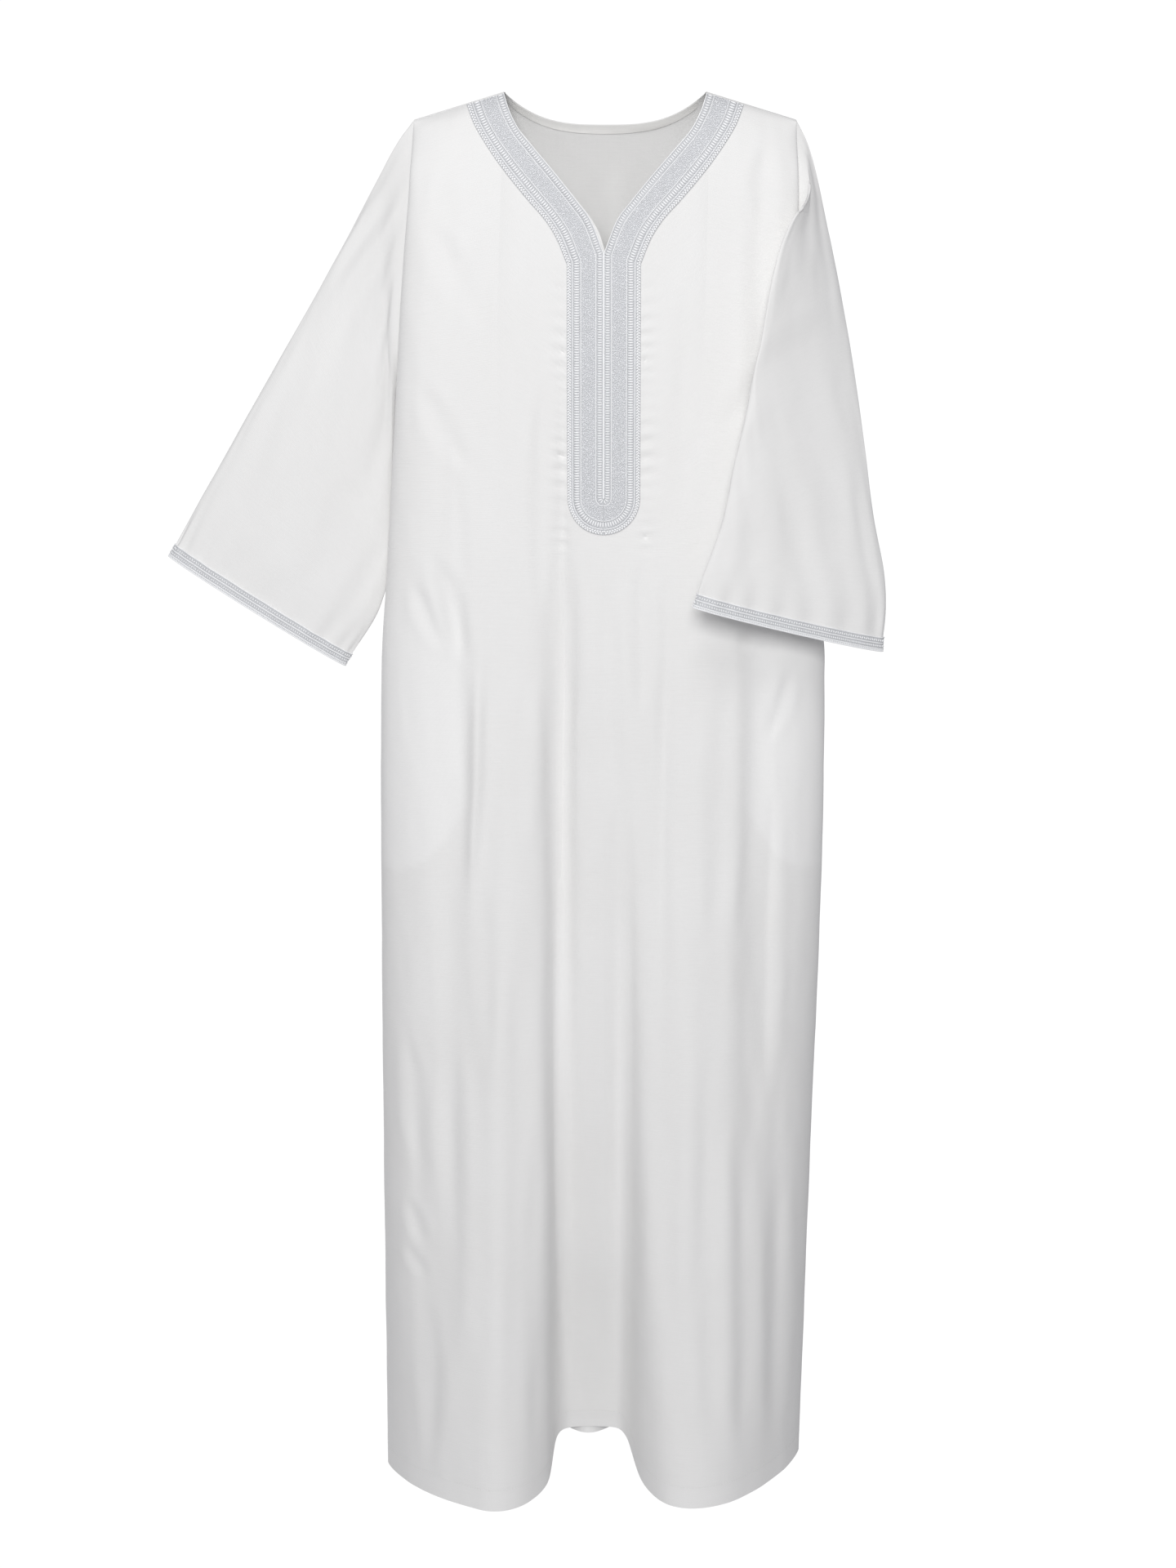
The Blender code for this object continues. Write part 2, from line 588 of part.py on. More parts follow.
def share_armhole(normals, sleeve_normals, side):
    """Gives the panels and the sleeve one normal at each armhole point, half way between their own."""
    for k, twins in enumerate(armhole_places(side)):
        body = sum(normals[face][row, column] for face, row, column in twins)
        shared = unit(unit(body) + sleeve_normals[0, k])
        sleeve_normals[0, k] = shared
        for face, row, column in twins:
            normals[face][row, column] = shared


def turn_along(points):
    run = np.concatenate([[0], np.cumsum(np.linalg.norm(np.diff(points, axis=0), axis=1))])
    return run / run[-1] * math.pi


def sleeve_rail(table, rail, side, along):
    x, y, z = (float(read(table, rail + axis, along)) for axis in ("_x", "_y", "_z"))
    return np.array([side * x, y, z])


def sleeve_ring(table, side, along, turns):
    """Flattened tube through the sleeve's two edges and the middles of its front and back."""
    top = sleeve_rail(table, "top", side, along)
    low = sleeve_rail(table, "low", side, along)
    centre = (top + low) / 2
    front = sleeve_rail(table, "front", side, along) - centre
    back = sleeve_rail(table, "back", side, along) - centre
    crease = float(read(table, "crease", along))
    across = np.sin(turns)[:, None]
    upward = np.cos(turns)[:, None]
    bulge = np.where(across > 0, front, back) * np.abs(across) ** crease
    parting = np.maximum(across, 0) * upward * 2 * float(read(table, "puff", along))
    layers = np.array([0.0, -1.0, 0.0]) * parting
    return centre + np.sign(upward) * np.abs(upward) ** crease * (top - centre) + bulge + layers


def sleeve_grid(table, side, loop, turns):
    """Rings from the armhole to the cuff. The last two are the edges of the cuff band."""
    start = sleeve_ring(table, side, 0.0, turns)
    grid = []
    for along in SLEEVE_RINGS:
        keep = 1 - smooth(along / SLEEVE_BLEND)
        grid.append(sleeve_ring(table, side, along, turns) + (loop - start) * keep)
    end = sleeve_ring(table, side, 1.0, turns)
    across = sleeve_rail(table, "top", side, 1.0) - sleeve_rail(table, "low", side, 1.0)
    up = np.cross(across, end[np.argmax(np.sin(turns))] - end[np.argmin(np.sin(turns))])
    up = unit(up) * np.sign(up[2])
    return np.array([*grid, end + up * CUFF_BAND, end])


def build_sleeve(name, grid, normals, material):
    outer = grid.copy()
    inner = grid - normals * WALL
    outer[0] = draw_in(outer[0], outer[1], SEAM_GAP / 2)
    inner[0] = draw_in(inner[0], inner[1], SEAM_GAP / 2)
    return wall_solid(name, outer, inner, material, around=True)


def build_cuff_trim(name, grid, normals, material):
    """Braid round the sleeve's end, made from the sleeve's last points, moved out."""
    inner = grid[-2:] + normals[-1:] * LAY_GAP
    return wall_solid(name, inner + normals[-1:] * TRIM_WALL, inner, material, around=True)


def surface_tree(grid):
    """Search tree over a grid's triangles, split as in wall_solid."""
    rows, columns = grid.shape[:2]
    points = [Vector(p) for p in grid.reshape(-1, 3)]
    faces = []
    for i in range(rows - 1):
        for j in range(columns - 1):
            a = i * columns + j
            b = a + columns
            faces.append((a, b, b + 1))
            faces.append((a, b + 1, a + 1))
    return BVHTree.FromPolygons(points, faces)


def laid_on(tree, points, normals):
    """Points moved onto a panel's facets and off them by the gap.

    They are then raised until the facets between them are clear of the panel too.
    """
    grid = points.copy()
    for i, j in np.ndindex(*points.shape[:2]):
        grid[i, j] = tree.find_nearest(Vector(points[i, j]))[0]
    grid = grid + normals * LAY_GAP
    for _ in range(LAY_ROUNDS):
        short = np.zeros(points.shape[:2])
        for i, j in np.ndindex(points.shape[0] - 1, points.shape[1] - 1):
            for corners in (((i, j), (i + 1, j), (i + 1, j + 1)), ((i, j), (i + 1, j + 1), (i, j + 1))):
                missing = max(shortfall(tree, grid, normals, corners, share) for share in LAY_SAMPLES)
                for corner in corners:
                    short[corner] = max(short[corner], missing)
        grid = grid + normals * short[..., None]
    return grid


def shortfall(tree, grid, normals, corners, share):
    """How much a place on a facet lacks of the gap."""
    place = sum(grid[c] * w for c, w in zip(corners, share))
    way = sum(normals[c] * w for c, w in zip(corners, share))
    found = tree.find_nearest(Vector(place))[0]
    return LAY_GAP - float(np.dot(place - np.array(found), unit(way)))


def front_at(x, down):
    """Outer surface of the front at a distance from the centre, on its flat part."""
    out = np.where(x >= 0, read(SECTIONS, "left_out", down), read(SECTIONS, "right_out", down))
    s = x / (out - read(SECTIONS, "corner", down)) * FLAT_SHARE
    return section(-1, s, down)


def trim_outline(side):
    """Front-view points (x, down) of half of the neck trim: rows of inner to outer edge."""
    across = np.linspace(0, 1, TRIM_COLUMNS + 1)
    rows = []
    for along in np.linspace(0, 1, BAND_ROWS):
        inner = (float(read(NECK_BAND, "inner_out", along)), float(read(NECK_BAND, "inner_down", along)))
        outer = (float(read(NECK_BAND, "outer_out", along)), float(read(NECK_BAND, "outer_down", along)))
        shift = PLACKET_CENTRE * smooth(along)
        rows.append([(side * (inner[0] + (outer[0] - inner[0]) * a) + shift,
                      inner[1] + (outer[1] - inner[1]) * a) for a in across])
    start = NECK_BAND["rows"][-1]
    round_centre = PLACKET_END - PLACKET_HALF
    for k in range(1, PLACKET_ROWS + 1):
        inner_down = start[2] + (round_centre - start[2]) * k / PLACKET_ROWS
        outer_down = start[4] + (round_centre - start[4]) * k / PLACKET_ROWS
        rows.append([(side * PLACKET_HALF * a + PLACKET_CENTRE, inner_down + (outer_down - inner_down) * a)
                     for a in across])
    for k in range(1, ROUND_ROWS + 1):
        turn = k / (ROUND_ROWS + 0.35) * math.pi / 2
        rows.append([(side * PLACKET_HALF * math.cos(turn) * a + PLACKET_CENTRE,
                      round_centre + PLACKET_HALF * math.sin(turn)) for a in across])
    return np.array(rows)


def build_neck_trim(front_grid, material):
    """Neck bands and placket in one piece. The halves part at the V and share the middle line below it."""
    tree = surface_tree(front_grid)
    halves = []
    for side in (-1, 1):
        outline = trim_outline(side)
        points = front_at(outline[..., 0], outline[..., 1])
        if side < 0:
            points = points[:, ::-1]
        normals = grid_normals(points)
        halves.append((laid_on(tree, points, normals), normals))
    right, left = halves
    first = BAND_ROWS - 1
    middle = unit(right[1][first:, -1] + left[1][first:, 0])
    right[1][first:, -1] = middle
    left[1][first:, 0] = middle
    right[0][first:, -1] = left[0][first:, 0]
    return forked_solid("neck_trim", right, left, first, material)


def forked_solid(name, right, left, first, material):
    """Closed wall from two grids that share their middle line from one row on."""
    mesh = bpy.data.meshes.new(name)
    work = bmesh.new()
    layers = []
    for lift in (TRIM_WALL, 0.0):
        left_arm = [[work.verts.new(p) for p in row] for row in left[0] + left[1] * lift]
        right_arm = []
        for i, row in enumerate(right[0] + right[1] * lift):
            own = row if i < first else row[:-1]
            shared = [] if i < first else [left_arm[i][0]]
            right_arm.append([work.verts.new(p) for p in own] + shared)
        layers.append((right_arm, left_arm))
    for turned, arms in zip((False, True), layers):
        for arm in arms:
            for upper, lower in zip(arm[:-1], arm[1:]):
                for j in range(TRIM_COLUMNS):
                    near = (upper[j], lower[j], lower[j + 1])
                    far = (upper[j], lower[j + 1], upper[j + 1])
                    work.faces.new(near[::-1] if turned else near)
                    work.faces.new(far[::-1] if turned else far)
    close_rims(work)
    work.to_mesh(mesh)
    work.free()
    return add_object(name, mesh, material)


def close_rims(work):
    """Joins the outer layer's open edges to the inner layer's, whose vertices follow in the same order."""
    work.verts.index_update()
    work.verts.ensure_lookup_table()
    half = len(work.verts) // 2
    open_edges = [e for e in work.edges if e.is_boundary and max(v.index for v in e.verts) < half]
    for edge in open_edges:
        loop = edge.link_loops[0]
        a = loop.vert
        b = loop.link_loop_next.vert
        rim_face(work, b, a, work.verts[a.index + half], work.verts[b.index + half])


def add_object(name, mesh, material):
    mesh.materials.append(material)
    thing = bpy.data.objects.new(name, mesh)
    bpy.context.collection.objects.link(thing)
    mesh.shade_smooth()
    mesh.set_sharp_from_angle(angle=math.radians(40))
    return thing


def build_facing(back_inner, material):
    """Narrow binding along the inside of the back neck."""
    tree = surface_tree(back_inner)
    limit = np.interp(FACING_REACH, top_x(np.linspace(0, 1, DENSE)), np.linspace(0, 1, DENSE))
    s = np.linspace(limit, -limit, FACING_COLUMNS + 1)
    rows = []
    for part in (0.06, 0.5, 1.0):
        rows.append(section(1, s, back_top(s) + FACING_HEIGHT * part))
    points = np.array(rows)
    normals = -grid_normals(points)
    near = laid_on(tree, points, normals)
    far = near + normals * TRIM_WALL
    return wall_solid("back_neck_facing", near, far, material)


def build_pocket(name, side, front_inner, material):
    """Flat bag that hangs inside the front from the side seam."""
    tree = surface_tree(front_inner)
    far = np.linspace(0, TURN_SHARE, DENSE)
    table = POCKET["rows"]
    rows = []
    for down in np.linspace(table[0][0], table[-1][0], POCKET_ROWS + 1):
        across = np.abs(section(-1, side * far, np.full(DENSE, down))[:, 0])
        inner = np.interp(float(read(POCKET, "inner", down)), across, far)
        s = np.linspace(inner, POCKET_SEAM_SIDE, POCKET_COLUMNS + 1) * side
        rows.append(section(-1, s if side > 0 else s[::-1], down))
    points = np.array(rows)
    normals = -grid_normals(points)
    near = laid_on(tree, points, normals)
    return wall_solid(name, near, near + normals * POCKET_WALL, material)


def main():
    start_empty()
    cloth = make_material("cloth")
    trim = make_material("trim")
    pocket = make_material("pocket")
    front_grid = panel_grid(-1, FRONT_COLUMNS)
    back_grid = panel_grid(1, BACK_COLUMNS)[:, ::-1]
    grids = {-1: front_grid, 1: back_grid}
    normals = {-1: grid_normals(front_grid), 1: grid_normals(back_grid)}
    share_side_seams(normals[-1], normals[1])
    for face, grid in grids.items():
        set_shoulder_normals(face, grid, normals[face])
    for name, table, side in (("right", RIGHT_SLEEVE, -1), ("left", LEFT_SLEEVE, 1)):
        loop, turns = armhole_loop(grids, side)
        sleeve = sleeve_grid(table, side, loop, turns)
        sleeve_normals = grid_normals(sleeve, around=True)
        share_armhole(normals, sleeve_normals, side)
        build_sleeve("sleeve_" + name, sleeve, sleeve_normals, cloth)
        build_cuff_trim("cuff_trim_" + name, sleeve, sleeve_normals, trim)
    front_inner = front_grid - normals[-1] * WALL
    back_inner = back_grid - normals[1] * WALL
    wall_solid("front_panel", *with_seam_gaps(front_grid, front_inner), cloth)
    wall_solid("back_panel", *with_seam_gaps(back_grid, back_inner), cloth)
    build_neck_trim(front_grid, trim)
    build_facing(back_inner, cloth)
    build_pocket("pocket_bag_right", -1, front_inner, pocket)
    build_pocket("pocket_bag_left", 1, front_inner, pocket)


main()
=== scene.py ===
"""Thobe robe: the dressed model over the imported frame, with its camera, floor and light.

Metres, +Z up. The origin is on the shoulder line, midway between the neck points and level with them.
The front faces -Y, and the wearer's left is at +X. Depths named "down" are below the neck points.
The surfaces follow the solids, with finer points and with creases. Lower down, the sides of the front round
away a little more than on the solids, and sharp valleys and steps take up part of three of its folds.
"""

import math

import bpy
import numpy as np
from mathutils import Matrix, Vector


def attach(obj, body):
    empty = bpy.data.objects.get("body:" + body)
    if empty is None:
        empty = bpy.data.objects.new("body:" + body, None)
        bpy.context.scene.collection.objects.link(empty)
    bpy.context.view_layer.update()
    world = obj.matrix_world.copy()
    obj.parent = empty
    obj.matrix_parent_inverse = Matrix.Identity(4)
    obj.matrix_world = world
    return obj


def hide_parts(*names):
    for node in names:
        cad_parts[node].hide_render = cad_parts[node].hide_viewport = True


POCKET_WALL = 0.0010  # both layers of a pocket bag
MILLIMETRES = 1000  # in a metre, for the tables that are given in them
NEAR = 1e-5

NECK_X = 0.099  # neck point, from the centre
SHOULDER_X = 0.187  # shoulder tip, from the centre
SHOULDER_SLOPE = 0.30  # fall of the shoulder line for each metre outwards
RIDGE_ROUND = 0.20  # half depth of the shoulder ridge is this times the root of the depth below it
SEAM_DOWN = 0.0016  # the shoulder seam lies this far below the ridge, on its front side
BACK_NECK_DOWN = 0.030  # middle of the back neck
BACK_NECK_ROUND = 3.0  # the larger, the flatter its middle
BACK_NECK_EDGE = 0.0070  # height of the back panel's first row at the neck
LEVEL_DOWN = 0.45  # from here down the rows of a panel are level
ARMPIT_DOWN = 0.285
HEM_DOWN = 1.445

PLACKET_HALF = 0.036
PLACKET_CENTRE = -0.0015
PLACKET_END = 0.427  # lowest point of its round end
CUFF_BAND = 0.014
FACING_HEIGHT = 0.009

DENSE = 481  # samples of a section before its points are spaced evenly
FLAT_SHARE = 0.5  # share of the section's parameter for the flat of the panel
TURN_SHARE = 0.82  # and up to the end of the round side

# The front's neckline: how far down its edge is at each distance from the centre
NECKLINE = {
    "columns": ("out", "down"),
    "rows": (
        (0, 0.154),
        (0.005, 0.137),
        (0.013, 0.122),
        (0.026, 0.105),
        (0.049, 0.077),
        (0.075, 0.047),
        (0.087, 0.032),
        (0.094, 0.017),
        (0.099, 0.0016),
    ),
}

# Sections of the body. Left and right here are the wearer's: right_* is at -X.
# out is the widest point, seam the side seam or armhole edge, y is the side seam's place front to back,
# gap is half the depth between the front's and the back's widest points, and corner is the round side.
SECTIONS = {
    "columns": ("down", "right_out", "right_seam", "right_y", "left_out", "left_seam", "left_y",
                "front", "back", "gap", "round", "corner"),
    "rows": (
        (0, 0.187, 0.187, 0, 0.187, 0.187, 0, 0.05, 0.052, 0.006, 1, 0.045),
        (0.03, 0.187, 0.187, 0, 0.187, 0.187, 0, 0.052, 0.054, 0.01, 1, 0.045),
        (0.085, 0.19, 0.19, 0, 0.188, 0.188, 0, 0.058, 0.06, 0.03, 1, 0.045),
        (0.15, 0.196, 0.196, 0, 0.189, 0.1888, 0, 0.063, 0.064, 0.035, 1, 0.047),
        (0.21, 0.201, 0.2005, 0, 0.19, 0.1895, 0, 0.066, 0.067, 0.036, 1, 0.05),
        (0.285, 0.206, 0.193, 0, 0.19, 0.186, 0, 0.068, 0.07, 0.036, 1, 0.054),
        (0.34, 0.21, 0.181, 0, 0.192, 0.187, 0, 0.069, 0.071, 0.036, 1, 0.058),
        (0.41, 0.215, 0.179, 0, 0.199, 0.194, 0, 0.07, 0.073, 0.036, 1, 0.062),
        (0.48, 0.22, 0.196, 0, 0.211, 0.204, 0.002, 0.072, 0.075, 0.035, 1, 0.066),
        (0.56, 0.226, 0.217, 0, 0.2225, 0.215, 0.004, 0.075, 0.077, 0.033, 1, 0.074),
        (0.75, 0.23, 0.225, 0, 0.2245, 0.219, 0.01, 0.084, 0.082, 0.03, 1.1, 0.1),
        (1.1, 0.233, 0.228, 0.002, 0.2195, 0.214, 0.022, 0.106, 0.092, 0.025, 1.25, 0.124),
        (1.445, 0.2345, 0.229, 0.008, 0.215, 0.209, 0.038, 0.128, 0.1, 0.022, 1.55, 0.134),
    ),
}

# Half depth of the armhole, front to back, at each depth
ARMHOLE = {
    "columns": ("down", "half"),
    "rows": (
        (0.028, 0.008),
        (0.05, 0.0145),
        (0.085, 0.024),
        (0.13, 0.029),
        (0.18, 0.03),
        (0.22, 0.028),
        (0.252, 0.021),
        (0.273, 0.011),
        (0.285, 0),
    ),
}

# The deep fold at the middle of the front, which opens towards the hem. left and right are the x of its
# steep walls, and the cloth rounds over into them from further out by the shoulders.
RECESS = {
    "columns": ("down", "depth", "left", "right", "left_wall", "right_wall",
                "left_shoulder", "right_shoulder"),
    "rows": (
        (0.56, 0, -0.04, 0.021, 0.008, 0.008, 0.002, 0.002),
        (0.75, 0.009, -0.043, 0.022, 0.0075, 0.0075, 0.003, 0.003),
        (0.95, 0.026, -0.046, 0.024, 0.0055, 0.0065, 0.004, 0.005),
        (1.15, 0.07, -0.049, 0.027, 0.0036, 0.0052, 0.006, 0.008),
        (1.3, 0.124, -0.052, 0.029, 0.0024, 0.0044, 0.008, 0.011),
        (1.445, 0.18, -0.0535, 0.031, 0.0016, 0.004, 0.009, 0.014),
    ),
}
SHOULDER_SHARE = 0.48  # share of the fold's depth that its rounded shoulders take
SHOULDER_ROUND = 0.011
RECESS_LIFT = 0.009  # the hem inside the fold hangs this much higher
LIFT_ROUND = 0.008

# Folds, in millimetres: x at their top and bottom, the depths where they start, are deepest and end, half
# width, depth.
# A positive depth goes into the robe, a negative one is a ridge.
FRONT_FOLDS = (
    (-48, -40, 240, 780, 1700, 13, 10),
    (14, 24, 580, 1050, 1800, 12, 10),
    (150, 152, 100, 740, 1360, 17, 7),
    (-152, -166, 200, 840, 1340, 16, 7),
    (-120, -139, 470, 660, 860, 7, -4),
    (88, 96, 460, 950, 1440, 18, -6),
    (-85, -116, 420, 950, 2600, 24, -8),
    (62, 56, 430, 660, 1000, 9, 5),
    (-186, -196, 800, 1120, 1440, 12, 6),
    (180, 184, 900, 1150, 1500, 12, 5),
)
BACK_FOLDS = (
    (-20, -16, 140, 1400, 2300, 34, 42),
    (-110, -138, 220, 1300, 2100, 20, 26),
    (96, 118, 180, 1360, 2200, 22, 30),
    (-64, -82, 300, 1200, 2200, 21, -12),
    (40, 56, 260, 1250, 2200, 22, -14),
    (155, 168, 300, 950, 1600, 14, 9),
    (-168, -182, 460, 900, 1400, 13, 8),
    (12, 20, 50, 200, 400, 16, 4),
)

# Sleeves, from the armhole at 0 to the cuff at 1: the upper edge, the lower edge, and the middles of the
# front and of the back. x is outwards from the centre. A ring is round where crease is 1 and folded at
# all four where it is 2. puff parts the two layers on either side of the front's middle.
SLEEVE_COLUMNS = ("along", "top_x", "top_y", "top_z", "low_x", "low_y", "low_z",
                  "front_x", "front_y", "front_z", "back_x", "back_y", "back_z", "crease", "puff")
RIGHT_SLEEVE = {
    "columns": SLEEVE_COLUMNS,
    "rows": (
        (0, 0.187, 0, -0.0264, 0.193, 0, -0.285, 0.197, -0.03, -0.156, 0.197, 0.03, -0.156, 1, 0),
        (0.05, 0.203, 0, -0.047, 0.204, 0, -0.301, 0.209, -0.027, -0.174, 0.209, 0.028, -0.174, 1, 0),
        (0.15, 0.226, 0, -0.087, 0.208, 0, -0.331, 0.219, -0.022, -0.209, 0.219, 0.025, -0.209, 1, 0),
        (0.35, 0.278, 0, -0.18, 0.21, 0, -0.388, 0.244, -0.019, -0.284, 0.244, 0.021, -0.284, 1, 0),
        (0.6, 0.344, 0, -0.29, 0.213, 0, -0.45, 0.279, -0.018, -0.37, 0.279, 0.019, -0.37, 1, 0),
        (0.8, 0.395, 0, -0.376, 0.228, 0, -0.506, 0.312, -0.017, -0.441, 0.312, 0.018, -0.441, 1, 0),
        (1, 0.442, 0, -0.456, 0.266, 0, -0.568, 0.354, -0.016, -0.512, 0.354, 0.017, -0.512, 1, 0),
    ),
}
LEFT_SLEEVE = {
    "columns": SLEEVE_COLUMNS,
    "rows": (
        (0, 0.187, 0, -0.026, 0.186, 0, -0.285, 0.188, -0.03, -0.156, 0.188, 0.03, -0.156, 1, 0),
        (0.05, 0.199, -0.002, -0.05, 0.197, -0.008, -0.3,
         0.198, -0.035, -0.118, 0.202, 0.026, -0.175, 1.3, 0.002),
        (0.12, 0.208, -0.006, -0.082, 0.205, -0.024, -0.31,
         0.188, -0.056, -0.112, 0.21, 0.008, -0.197, 1.6, 0.005),
        (0.2, 0.216, -0.011, -0.118, 0.204, -0.038, -0.317,
         0.17, -0.077, -0.142, 0.213, -0.01, -0.219, 1.8, 0.008),
        (0.28, 0.224, -0.018, -0.154, 0.197, -0.05, -0.324,
         0.158, -0.091, -0.188, 0.211, -0.028, -0.241, 1.8, 0.009),
        (0.36, 0.232, -0.024, -0.192, 0.182, -0.062, -0.335,
         0.15, -0.098, -0.235, 0.207, -0.04, -0.266, 1.7, 0.009),
        (0.43, 0.239, -0.029, -0.228, 0.153, -0.09, -0.352,
         0.143, -0.104, -0.272, 0.204, -0.048, -0.292, 1.5, 0.006),
        (0.52, 0.247, -0.035, -0.275, 0.132, -0.108, -0.371,
         0.147, -0.107, -0.312, 0.2, -0.055, -0.32, 1.3, 0.003),
        (0.75, 0.266, -0.05, -0.405, 0.108, -0.121, -0.425,
         0.173, -0.105, -0.41, 0.194, -0.072, -0.415, 1.1, 0),
        (0.92, 0.281, -0.058, -0.499, 0.091, -0.126, -0.47,
         0.178, -0.109, -0.485, 0.19, -0.08, -0.485, 1, 0),
        (1, 0.277, -0.061, -0.544, 0.085, -0.127, -0.49,
         0.176, -0.11, -0.517, 0.186, -0.084, -0.517, 1, 0),
    ),
}
SLEEVE_BLEND = 0.34  # the sleeve leaves the armhole's own shape over this share of its length

# Pocket bags hang inside the front from the side seams: inner edge at each depth, from the centre
POCKET = {
    "columns": ("down", "inner"),
    "rows": (
        (0.43, 0.15),
        (0.47, 0.143),
        (0.69, 0.142),
        (0.73, 0.158),
        (0.755, 0.18),
        (0.77, 0.206),
    ),
}
# Half of the neck band, from the shoulder seam at 0 to the V at 1
NECK_BAND = {
    "columns": ("along", "inner_out", "inner_down", "outer_out", "outer_down"),
    "rows": (
        (0, 0.0985, 0.003, 0.135, 0.0135),
        (0.12, 0.0935, 0.018, 0.128, 0.031),
        (0.25, 0.084, 0.0365, 0.1145, 0.0535),
        (0.38, 0.069, 0.0545, 0.097, 0.0775),
        (0.55, 0.049, 0.0775, 0.076, 0.1025),
        (0.75, 0.026, 0.1055, 0.056, 0.125),
        (0.87, 0.013, 0.1225, 0.046, 0.141),
        (1, 0, 0.1545, 0.036, 0.165),
    ),
}

NECK_SHARE = 0.5  # share of a half panel's columns that the neck takes at the top
PANEL_COLUMNS = 86  # in each half of a panel
ARMHOLE_ROWS = 62
UPPER_ROWS = 34
LOWER_ROWS = 172
RIDGE_ROWS = 5
ROW_CROWD = 1.35  # the larger, the closer the rows at the shoulder
TURN_WEIGHT = 0.006  # a full radian of turning counts as this much length
SLEEVE_STEPS = 120
SHARP_DEGREES = 50
CLOTH_WALL = 0.0009  # thickness of the cloth that shows

# Creases, in millimetres: x and depth below the neck points of the first end and of the last, half width,
# depth of the crease, and how far its middle bows towards +X.
FRONT_CREASES = (
    (-152, 300, -148, 700, 10, 2.6, 4),
    (19, 560, 22, 1440, 13, 2.8, 0),
    (-137, 560, -134, 1060, 15, 3.6, -4),
    (-59, 262, -64, 520, 8, 2.4, -3),
    (146, 60, 152, 470, 12, 3, 4),
    (156, 46, 158, 132, 9, 2.2, -3),
    (-172, 438, -140, 560, 8.5, 3.2, 4),
    (-190, 470, -160, 545, 7, 2.2, -2),
    (-128, 560, -139, 800, 7.5, -2.2, 3),
    (-110, 620, -118, 980, 11, 2.2, -4),
    (-90, 820, -94, 1380, 13, 2.6, 5),
    (-152, 920, -160, 1330, 11, 2.8, -4),
    (-178, 1060, -186, 1440, 10, 3, 3),
    (-206, 1120, -190, 1170, 7, 1.6, 0),
    (-210, 1170, -188, 1205, 6.5, 1.5, 0),
    (-205, 930, -196, 1090, 8, 2, 2),
    (-34, 450, -40, 640, 8, 1.8, 2),
    (4, 450, 10, 720, 9, 2, -3),
    (34, 440, 36, 620, 8, 2.2, 2),
    (44, 520, 50, 1180, 13, 2.6, -5),
    (74, 180, 78, 420, 11, 1.6, 3),
    (70, 700, 78, 1300, 12, -2.2, 6),
    (118, 520, 112, 860, 12, 2.2, 4),
    (104, 940, 118, 1420, 13, 2.8, -5),
    (140, 1020, 146, 1430, 11, 2.4, 3),
    (172, 680, 170, 1020, 10, 2.6, -3),
    (186, 1080, 182, 1420, 9, 2.4, 2),
    (176, 470, 128, 545, 8, 2, 4),
    (190, 560, 160, 640, 7.5, 1.8, 3),
    (-112, 110, -104, 290, 13, 1.5, 4),
    (-150, 70, -158, 200, 11, 1.8, -3),
    (-176, 120, -120, 235, 10, 1.4, 5),
    (176, 250, 116, 330, 10, 1.6, -4),
    (-180, 275, -130, 370, 9.5, 2, -4),
    (-70, 560, -76, 760, 9, -1.6, 2),
    (-66, 1020, -70, 1420, 9, 2.2, -3),
)
BACK_CREASES = (
    (-148, 80, -154, 380, 11, 2.6, 4),
    (150, 70, 146, 350, 11, 2.8, -4),
    (-172, 110, -122, 240, 10, 1.6, 4),
    (174, 120, 120, 260, 10, 1.8, -4),
    (-60, 120, -66, 420, 12, 2, 3),
    (58, 110, 64, 460, 12, 2.2, -4),
    (10, 60, 6, 300, 13, 1.8, 3),
    (-180, 430, -120, 540, 9, 2.4, -4),
    (180, 450, 130, 560, 9, 2.2, 4),
    (-150, 520, -156, 980, 12, 2.6, 4),
    (-92, 480, -96, 900, 12, 2.4, -5),
    (-44, 560, -50, 1060, 11, 2.2, 4),
    (16, 520, 20, 980, 12, 2.4, -4),
    (72, 560, 78, 1100, 12, 2.6, 5),
    (126, 500, 130, 900, 11, 2.4, -4),
    (176, 620, 180, 1040, 10, 2.4, 3),
    (-190, 720, -192, 1120, 10, 2.4, -3),
    (-120, 1000, -112, 1430, 12, 2.6, 4),
    (-172, 1080, -168, 1430, 11, 2.4, -3),
    (-60, 1100, -56, 1430, 11, 2.2, 3),
    (46, 1120, 50, 1430, 11, 2.4, -4),
    (102, 1040, 98, 1430, 12, 2.6, 4),
    (156, 1060, 162, 1430, 11, 2.4, -3),
    (196, 1150, 174, 1200, 7, 2.2, 0),
    (-204, 1190, -180, 1240, 7, 2.2, 0),
)

# Creases of the sleeves: share of the length and turn from the top of the first end and of the last, half
# width as a turn, depth in metres
RIGHT_SLEEVE_CREASES = (
    (0, 0.6, 0.34, 0.52, 0.16, 0.0024),
    (0.02, 1.15, 0.46, 0.95, 0.15, 0.0026),
    (0.04, 1.75, 0.3, 1.6, 0.14, 0.002),
    (0.1, 2.3, 0.62, 2.05, 0.15, 0.0024),
    (0.3, 1.2, 0.86, 1.45, 0.14, 0.002),
    (0.44, 0.7, 0.98, 0.85, 0.14, 0.0018),
    (0.55, 1.85, 1, 1.95, 0.13, 0.0022),
    (0.62, 2.5, 0.99, 2.35, 0.12, 0.0016),
    (0.05, -0.7, 0.4, -0.6, 0.16, 0.0024),
    (0.04, -1.4, 0.55, -1.2, 0.15, 0.0026),
    (0.1, -2.1, 0.7, -1.9, 0.15, 0.0022),
    (0.45, -1.05, 0.98, -1.25, 0.14, 0.002),
    (0.55, -2.3, 0.99, -2.1, 0.13, 0.0018),
)
